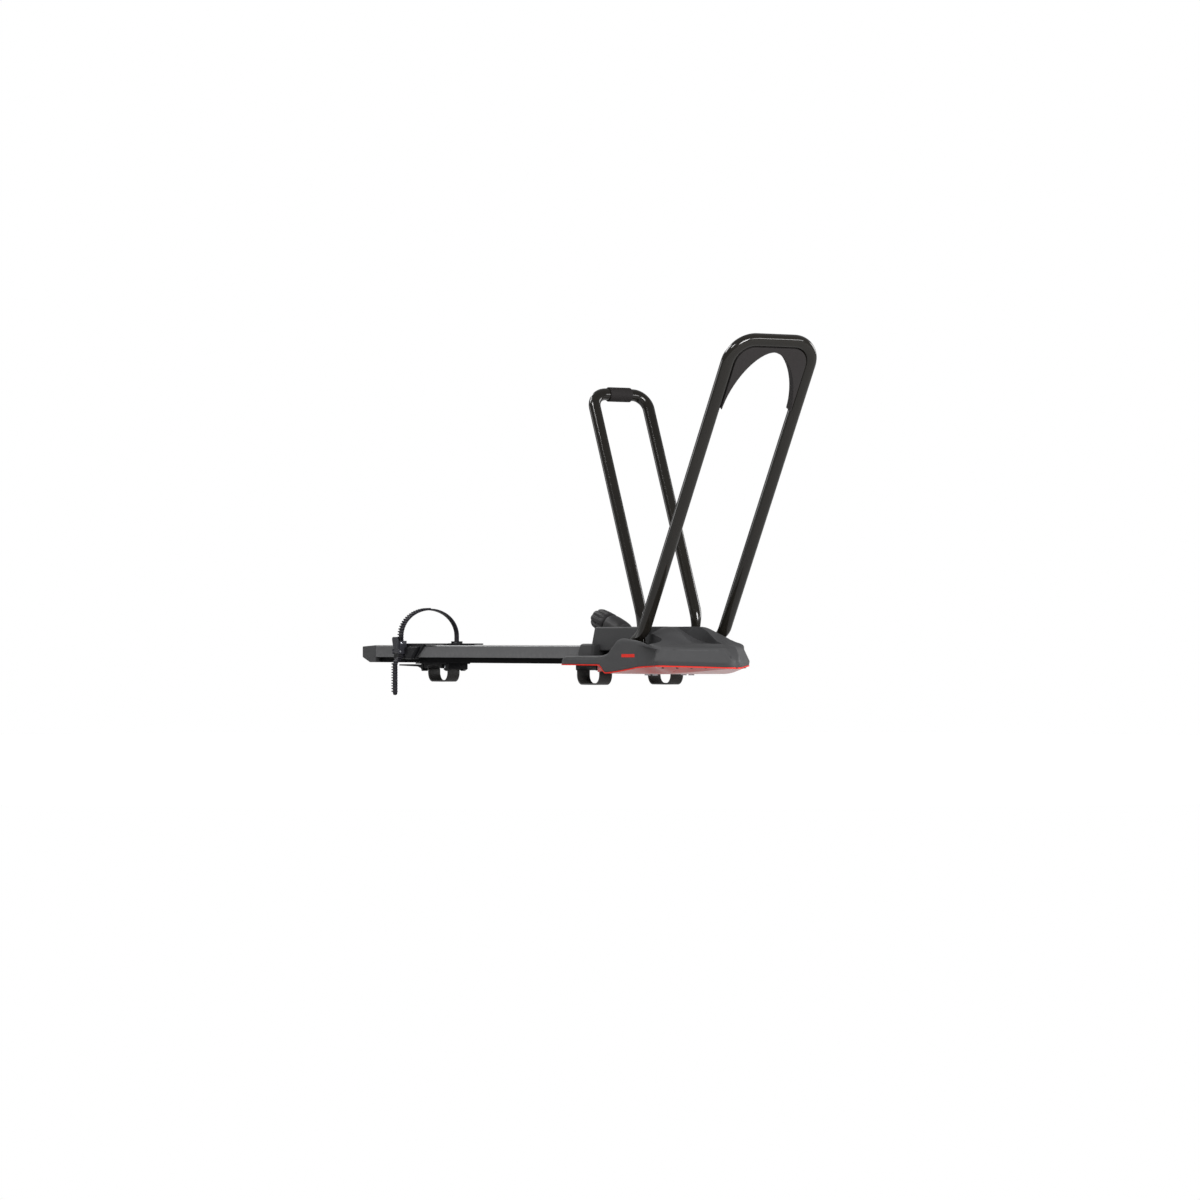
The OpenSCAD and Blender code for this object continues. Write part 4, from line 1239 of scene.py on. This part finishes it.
@dataclass
class Knob:
    """The knob on its tilted axis: a fluted bulb, a groove and a smooth collar."""

    origin: Place = (-16.0, 0.0, 65.0)
    tilt_deg: float = 15.0
    flutes: int = 9
    steps_each: int = 14
    flute: float = 3.0
    flute_power: float = 0.8
    flute_start: Point = (64.0, 76.0)
    flute_end: Point = (107.0, 115.0)
    plain_r: float = 12.0
    # Place along the axis and radius of each point.
    profile: tuple[Point, ...] = (
        (4.3, 0.0), (4.3, 16.0), (5.2, 17.6), (8, 18.8), (16, 19.8), (28, 20.6), (42, 21.2), (52, 21.3),
        (55, 20.8), (56.2, 19.2), (57.6, 18.0), (59.4, 18.0), (60.6, 19.6), (63, 21.2), (68, 22.0),
        (78, 22.0), (90, 22.0), (98, 21.5), (104, 20.4), (109, 18.4), (113.0, 15.4), (115.4, 12.0),
        (115.9, 9.0), (116.0, 0.0))

    def place(self) -> Matrix:
        """Returns the matrix that stands the knob on its axis."""
        turn = Matrix.Rotation(math.radians(-90 + self.tilt_deg), 4, "Y")
        return Matrix.Translation(Vector(self.origin) * MM) @ turn

    def press_flutes(self, bm: Solid) -> None:
        """Presses the flutes into the bulb.

        Args:
            bm: the spun knob.
        """
        for vert in bm.verts:
            along = vert.co.z / MM
            radius = vert.co.xy.length / MM
            if radius < self.plain_r:
                continue
            turn = math.atan2(vert.co.y, vert.co.x) * self.flutes
            dip = max(0.0, -math.cos(turn)) ** self.flute_power
            depth = self.flute * dip * eased(along, *self.flute_start) * (1 - eased(along, *self.flute_end))
            share = 1 - depth / radius
            vert.co.x *= share
            vert.co.y *= share

    def build(self, shop: Workshop) -> None:
        """Spins the profile, presses the flutes and dresses the screw and its bearing.

        Args:
            shop: makes the pieces.
        """
        bm = bmesh.new()
        outline = [Vector((radius, 0, along)) * MM for along, radius in self.profile]
        spun(bm, outline, axis=(0, 0, 1), steps=self.flutes * self.steps_each)
        self.press_flutes(bm)
        bmesh.ops.recalc_face_normals(bm, faces=bm.faces)
        bmesh.ops.transform(bm, matrix=self.place(), verts=bm.verts)
        shop.piece("knob_grip_ribbed", bm, Finishes.knob, "clamp_knob", ("knob_grip",), sharp_deg=50.0,
                   weighted=False)
        shop.dress(Finishes.steel, "knob_screw")
        shop.dress(Finishes.black, "knob_collar")


# Wheel strap, cradle and buckle

@dataclass
class WheelStrap:
    """The ladder strap that holds the rear wheel, with its hanging tail, cradle and buckle."""

    x: float = -832.0
    width: float = 22.0
    web: float = 16.0
    thick: float = 3.5
    side: float = 65.35
    tail: float = 79.35
    tail_low: float = -62.6
    tail_steps: int = 12
    slant_low: float = 1.2
    slant_top: float = 19.2
    slant_steps: int = 8
    foot: float = 60.2
    side_steps: int = 6
    rise: float = 55.25
    arch_steps: int = 48
    end: float = 43.2
    end_steps: int = 3
    eye_r: float = 4.0
    edge: float = 0.8
    border: float = 2.2
    border_share: float = 0.2
    sink: float = 0.5
    round_end: tuple[Point, ...] = ((0.25, 0.36), (1.0, 0.6), (2.4, 0.82), (4.4, 0.96), (7.0, 1.0))
    round_clear: float = 9.0
    hair: float = 0.01
    rib_first: float = 8.0
    rib_last_y: float = 2.0
    rib_step: float = 5.6
    rib_wide: float = 2.7
    rib_high: float = 1.5
    rib_root: float = 0.6
    lever_round: float = 6.0
    lever_top: float = 1.0
    cheek: tuple[Point, ...] = ((16, 12), (46, 12), (75, 38), (16, 38))
    cheek_y: Point = (-66.0, -58.0)

    def middle_line(self) -> list[Point]:
        """Lists the strap's middle line from the tail's end to the far eye.

        Returns:
            The points, across and up.
        """
        line = []
        for share in shares(self.tail_steps):
            line.append((-self.tail, between(self.tail_low, self.slant_low, share)))
        for share in shares(self.slant_steps)[1:]:
            across = between(-self.tail, -self.side, eased(share, 0.0, 1.0))
            line.append((across, between(self.slant_low, self.slant_top, share)))
        for share in shares(self.side_steps)[1:-1]:
            line.append((-self.side, between(self.slant_top, self.foot, share)))
        for share in shares(self.arch_steps):
            turn = math.pi * (1 - share)
            line.append((self.side * math.cos(turn), self.foot + self.rise * math.sin(turn)))
        for share in shares(self.end_steps)[1:]:
            line.append((self.side, between(self.foot, self.end, share)))
        return line

    def section(self, half: float) -> list[Point]:
        """Draws the strap's section, with a raised border along each edge.

        Args:
            half: half its width.

        Returns:
            The points, along its width and out of its face.
        """
        thick = self.thick / 2
        edge = self.edge
        border = min(self.border, half * self.border_share)
        low = thick - self.sink
        outer = [(half - edge, thick), (half - border, thick), (half - border - self.sink, low),
                 (-half + border + self.sink, low), (-half + border, thick), (-half + edge, thick)]
        return outer + [(-half, thick - edge), (-half, -thick + edge), (-half + edge, -thick),
                        (half - edge, -thick), (half, -thick + edge), (half, thick - edge)]

    def frames(self) -> list[tuple[Vector, Vector]]:
        """Lists place and outward direction along the middle line, both across and up."""
        line = [Vector(point) for point in self.middle_line()]
        outward = [Vector((-ahead.y, ahead.x)).normalized() for ahead in headings(line)]
        return list(zip(line, outward))

    def band(self) -> Solid:
        """Sweeps the band, with a rounded end on the tail.

        Returns:
            The solid.
        """
        half = self.web / 2
        frames = self.frames()
        low = frames[0][0].y
        rows = []
        for up, share in self.round_end:
            rows.append((Vector((-self.tail, low + up)), Vector((-1, 0)), half * share))
        for place, out in frames:
            if place.y > low + self.round_clear or place.x > self.hair - self.tail:
                rows.append((place, out, half))
        rings = []
        for place, out, reach in rows:
            spots = [(across, place + out * up) for across, up in self.section(reach)]
            rings.append([Vector((self.x + across, spot.x, spot.y)) * MM for across, spot in spots])
        bm = bmesh.new()
        skin(bm, rings)
        return bm

    def ribs(self) -> Solid:
        """Sets the cross ribs on the outer face of the near side and the tail.

        Returns:
            All ribs.
        """
        rows = self.frames()
        bm = bmesh.new()
        travelled = 0.0
        due = self.rib_first
        for (before, _), (place, out) in zip(rows, rows[1:]):
            length = (place - before).length
            while due <= travelled + length and place.x < self.rib_last_y:
                self.rib(bm, before + (place - before) * ((due - travelled) / length), out)
                due += self.rib_step
            travelled += length
        return bm

    def rib(self, bm: Solid, spot: Vector, out: Vector) -> None:
        """Adds one rounded rib.

        Args:
            bm: the mesh to add to.
            spot: its place on the middle line.
            out: the outward direction there.
        """
        top = self.thick / 2 + self.rib_high
        tall = top + self.rib_root
        middle = spot + out * (top - tall / 2)
        basis = Matrix(((1, 0, 0), (0, -out.y, out.x), (0, out.x, out.y))).to_4x4()
        place = Matrix.Translation(Vector((self.x, middle.x, middle.y)) * MM) @ basis
        size = Matrix.Diagonal((self.width, self.rib_wide, tall, 1 / MM)).to_4x4() * MM
        made = bmesh.ops.create_cube(bm, size=1.0, matrix=place @ size)
        edges = list(dict.fromkeys(edge for vert in made["verts"] for edge in vert.link_edges))
        round_edges(bm, edges, width_mm=0.45, segments=1)

    def eye(self) -> Solid:
        """Makes the rolled eye at the far end.

        Returns:
            The solid.
        """
        ends = [Vector((self.x + side * self.width / 2, self.side, self.end)) * MM for side in SIDES]
        bm = rod(*ends, self.eye_r * MM, sides=40)
        soften(bm, width_mm=0.6)
        return bm

    def paddle(self, shop: Workshop) -> None:
        """Builds the buckle's lever, with a rounded top.

        Args:
            shop: makes the piece.
        """
        bm = merged_copy("buckle_lever")
        top = max(vert.co.z for vert in bm.verts)
        corners = []
        for edge in bm.edges:
            along = edge.verts[1].co - edge.verts[0].co
            level = min(vert.co.z for vert in edge.verts) > top - self.lever_top * MM
            if level and abs(along.y) > abs(along.x):
                corners.append(edge)
        round_edges(bm, corners, self.lever_round, segments=5)
        soften(bm, width_mm=0.8)
        shop.piece("buckle_lever_paddle", bm, Finishes.buckle, "lever", ("buckle_lever",))

    def build(self, shop: Workshop) -> None:
        """Builds the strap, then the cradle, clip and buckle.

        Args:
            shop: makes the pieces.
        """
        bm = self.band()
        join(bm, self.ribs(), self.eye())
        bmesh.ops.recalc_face_normals(bm, faces=bm.faces)
        shop.piece("wheel_strap_ladder", bm, Finishes.strap, "cradle", ("wheel_strap",), sharp_deg=32.0)
        shop.soft_copy("wheel_cradle", Finishes.black, width_mm=1.2, segments=3)
        shop.soft_copy("strap_clip", Finishes.black, width_mm=0.5)
        shop.soft_copy("buckle_frame", Finishes.buckle, width_mm=0.7)
        self.paddle(shop)
        cheek = prism([(self.x + x, z) for x, z in self.cheek], *self.cheek_y, soft_mm=3.9)
        shop.piece("cradle_cheek", cheek, Finishes.black, "cradle")
        shop.soft_copy("buckle_release", Finishes.black, width_mm=0.6)
        shop.dress(Finishes.steel, "strap_anchor_pin", "buckle_pins")


@dataclass
class Tray:
    """The tray, its track and end cap, and the rear clamp under it."""

    # Solid, finish, width of the rounding in millimetres and how many pieces it has.
    soft: tuple[tuple[str, Finish, float, int], ...] = (
        ("tray_channel", Finishes.tray, 1.3, 3),
        ("tray_track", Finishes.track, 0.5, 2),
        ("end_cap", Finishes.cover, 2.0, 3),
        ("rear_clamp_body", Finishes.black, 0.8, 2),
        ("rear_clamp_lever", Finishes.black, 0.8, 2),
        ("rear_bar_pad", Finishes.rubber, 0.8, 2))

    def build(self, shop: Workshop) -> None:
        """Builds the tray and the rear clamp."""
        for row in self.soft:
            shop.soft_copy(*row)


@dataclass
class Clamps:
    """The bands round the crossbars and the fittings inside the head."""

    bands: tuple[str, ...] = ("near_bar_strap", "far_bar_strap", "rear_bar_strap")
    fittings: tuple[str, ...] = ("pivot_bracket", "bracket_bolts", "hoop_axle", "axle_nuts", "strap_pins",
                                 "tray_bolts", "clamp_yoke", "rear_strap_pin", "rear_lever_pin")

    def build(self, shop: Workshop) -> None:
        """Rounds the bands and dresses the fittings.

        Args:
            shop: makes the pieces.
        """
        for band in self.bands:
            shop.soft_copy(band, Finishes.band, width_mm=0.6)
        shop.dress(Finishes.steel, *self.fittings)
        shop.dress(Finishes.black, "axle_spacers")


# Stage, light and camera

@dataclass(frozen=True)
class Lamp:
    """One soft studio lamp, aimed at a place on the carrier."""

    name: str
    place: Place
    aim: Place
    size: Point
    power: float

    def build(self) -> None:
        """Hangs the lamp."""
        light = bpy.data.lights.new(self.name, "AREA")
        light.shape = "RECTANGLE"
        light.size, light.size_y = self.size
        light.energy = self.power
        thing = bpy.data.objects.new(self.name, light)
        thing.location = self.place
        aim = Vector(self.aim) - Vector(self.place)
        thing.rotation_euler = aim.to_track_quat("-Z", "Y").to_euler()
        thing.visible_camera = False
        bpy.context.scene.collection.objects.link(thing)


@dataclass
class Studio:
    """Pale floor, soft light, white surroundings and the camera. Its sizes are in metres."""

    camera_place: Place = (7.4611, -4.3514, 0.0477)
    heading_deg: float = 29.867
    pitch_deg: float = 0.536
    lens_mm: float = 134.7
    sensor_mm: float = 36.0
    view_end: float = 200.0
    floor_x: float = -0.25
    floor_radius: float = 2.6
    floor_sides: int = 96
    floor_drop: float = 0.12
    floor_colour: tuple[float, ...] = (0.5, 0.5, 0.5, 1.0)
    floor_rough: float = 0.9
    sky_colour: tuple[float, ...] = (0.96, 0.98, 1.0, 1.0)
    white: tuple[float, ...] = (1.0, 1.0, 1.0, 1.0)
    sky: float = 0.1
    lift: float = 0.76
    shine: float = 0.3
    lamps: tuple[Lamp, ...] = (
        Lamp("front", (5.6, -0.6, 1.2), (0.0, 0.0, 0.15), (2.2, 1.8), 410.0),
        Lamp("flank", (0.7, -4.3, 4.1), (0.3, -0.05, 0.02), (1.8, 1.2), 150.0),
        Lamp("left_high", (-3.7, -2.9, 3.9), (-0.2, 0.0, 0.2), (2.0, 2.0), 150.0),
        Lamp("left_low", (-5.6, -3.85, 0.75), (-0.2, 0.0, 0.35), (1.6, 1.4), 20.0),
        Lamp("behind", (-5.2, 0.2, 3.0), (0.0, 0.0, 0.2), (1.4, 1.2), 40.0),
        Lamp("back", (0.3, 5.2, 1.3), (0.1, 0.0, 0.3), (2.4, 2.0), 120.0),
        Lamp("bar_line", (3.1, 1.5, 0.42), (0.53, 0.0, 0.63), (1.6, 0.5), 34.0))

    def seen(self, tree: Tree) -> Socket:
        """Builds the share of the white surroundings that a ray sees.

        Args:
            tree: the node tree to add to.

        Returns:
            1 for rays from the camera or through clear plastic, a part of that for mirrors, and 0 for light.
        """
        rays = tree.add("ShaderNodeLightPath").outputs
        mirror = tree.math("MULTIPLY", rays["Is Glossy Ray"], self.shine)
        shiny = tree.math("MAXIMUM", mirror, rays["Is Transmission Ray"])
        return tree.math("MAXIMUM", rays["Is Camera Ray"], shiny)

    def world(self) -> None:
        """Makes surroundings that look white and light softly."""
        world = bpy.data.worlds.new("studio")
        world.use_nodes = True
        world.node_tree.nodes.clear()
        tree = Tree(world.node_tree)
        soft = tree.add("ShaderNodeBackground", {"Color": self.sky_colour, "Strength": self.sky})
        white = tree.add("ShaderNodeBackground", {"Color": self.white, "Strength": 1.0})
        both = tree.add("ShaderNodeMixShader", {0: self.seen(tree), 1: soft.outputs[0], 2: white.outputs[0]})
        tree.add("ShaderNodeOutputWorld", {"Surface": both.outputs[0]})
        bpy.context.scene.world = world

    def floor(self, height: float) -> None:
        """Lays the pale floor.

        Args:
            height: where it lies.
        """
        material = bpy.data.materials.new("pale_floor")
        material.use_nodes = True
        tree = Tree(material.node_tree)
        shader = material.node_tree.nodes["Principled BSDF"]
        shader.inputs["Base Color"].default_value = self.floor_colour
        shader.inputs["Roughness"].default_value = self.floor_rough
        glow = tree.add("ShaderNodeEmission", {"Strength": tree.math("MULTIPLY", self.seen(tree), self.lift)})
        both = tree.add("ShaderNodeAddShader", {0: shader.outputs[0], 1: glow.outputs[0]})
        output = material.node_tree.nodes["Material Output"]
        tree.give(output.inputs["Surface"], both.outputs[0])
        bm = bmesh.new()
        bmesh.ops.create_circle(bm, cap_ends=True, segments=self.floor_sides, radius=self.floor_radius)
        bmesh.ops.translate(bm, vec=(self.floor_x, 0, height), verts=bm.verts)
        mesh = bpy.data.meshes.new("floor")
        bm.to_mesh(mesh)
        bm.free()
        mesh.materials.append(material)
        thing = bpy.data.objects.new("floor", mesh)
        bpy.context.scene.collection.objects.link(thing)
        thing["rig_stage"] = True

    def camera(self) -> None:
        """Sets the camera at the photo's view."""
        data = bpy.data.cameras.new("photo_view")
        data.lens = self.lens_mm
        data.sensor_width = self.sensor_mm
        data.clip_end = self.view_end
        thing = bpy.data.objects.new("photo_view", data)
        heading = math.radians(self.heading_deg)
        pitch = math.radians(self.pitch_deg)
        level = math.cos(pitch)
        look = Vector((-math.cos(heading) * level, math.sin(heading) * level, math.sin(pitch)))
        right = Vector((math.sin(heading), math.cos(heading), 0.0))
        up = right.cross(look)
        turn = Matrix((right, up, -look)).transposed().to_4x4()
        thing.matrix_world = Matrix.Translation(self.camera_place) @ turn
        bpy.context.scene.collection.objects.link(thing)
        bpy.context.scene.camera = thing

    def build(self, lowest: float) -> None:
        """Builds the studio round the carrier.

        Args:
            lowest: height of the carrier's lowest point at rest. The floor lies clear of the opened straps.
        """
        self.world()
        self.floor(lowest - self.floor_drop)
        for lamp in self.lamps:
            lamp.build()
        self.camera()
        bpy.context.scene.view_settings.view_transform = "Standard"


def plain(box: tuple[Vector, Vector]) -> list[list[float]]:
    """Turns a box into plain lists of numbers."""
    return [[float(value) for value in corner] for corner in box]


def main() -> None:
    """Builds every sub-assembly in order."""
    logging.basicConfig(level=logging.INFO, format="%(name)s: %(message)s")
    cad_box = plain(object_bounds())
    shop = Workshop(Effects())
    front = Hoop("front_hoop", "front_hoop_body", half=88.0, length=677.8, bend=47.0, offset=28.0,
                 lean_deg=31.5, across=20.0, tube=24.0, start=66.0, square=2.5, pad=Finishes.pad)
    rear = Hoop("rear_hoop", "rear_hoop_body", half=60.0, length=527.0, bend=30.0, offset=25.0,
                lean_deg=-24.0, across=23.0, tube=23.0, start=72.0, square=2.0, pad=Finishes.sleeve)
    for assembly in (Head(), front, rear, Knob(), Tray(), Clamps(), WheelStrap()):
        assembly.build(shop)
    Studio().build(cad_box[0][2])
    LOG.info("%d pieces made", len(shop.made))


if __name__ == "__main__":
    main()
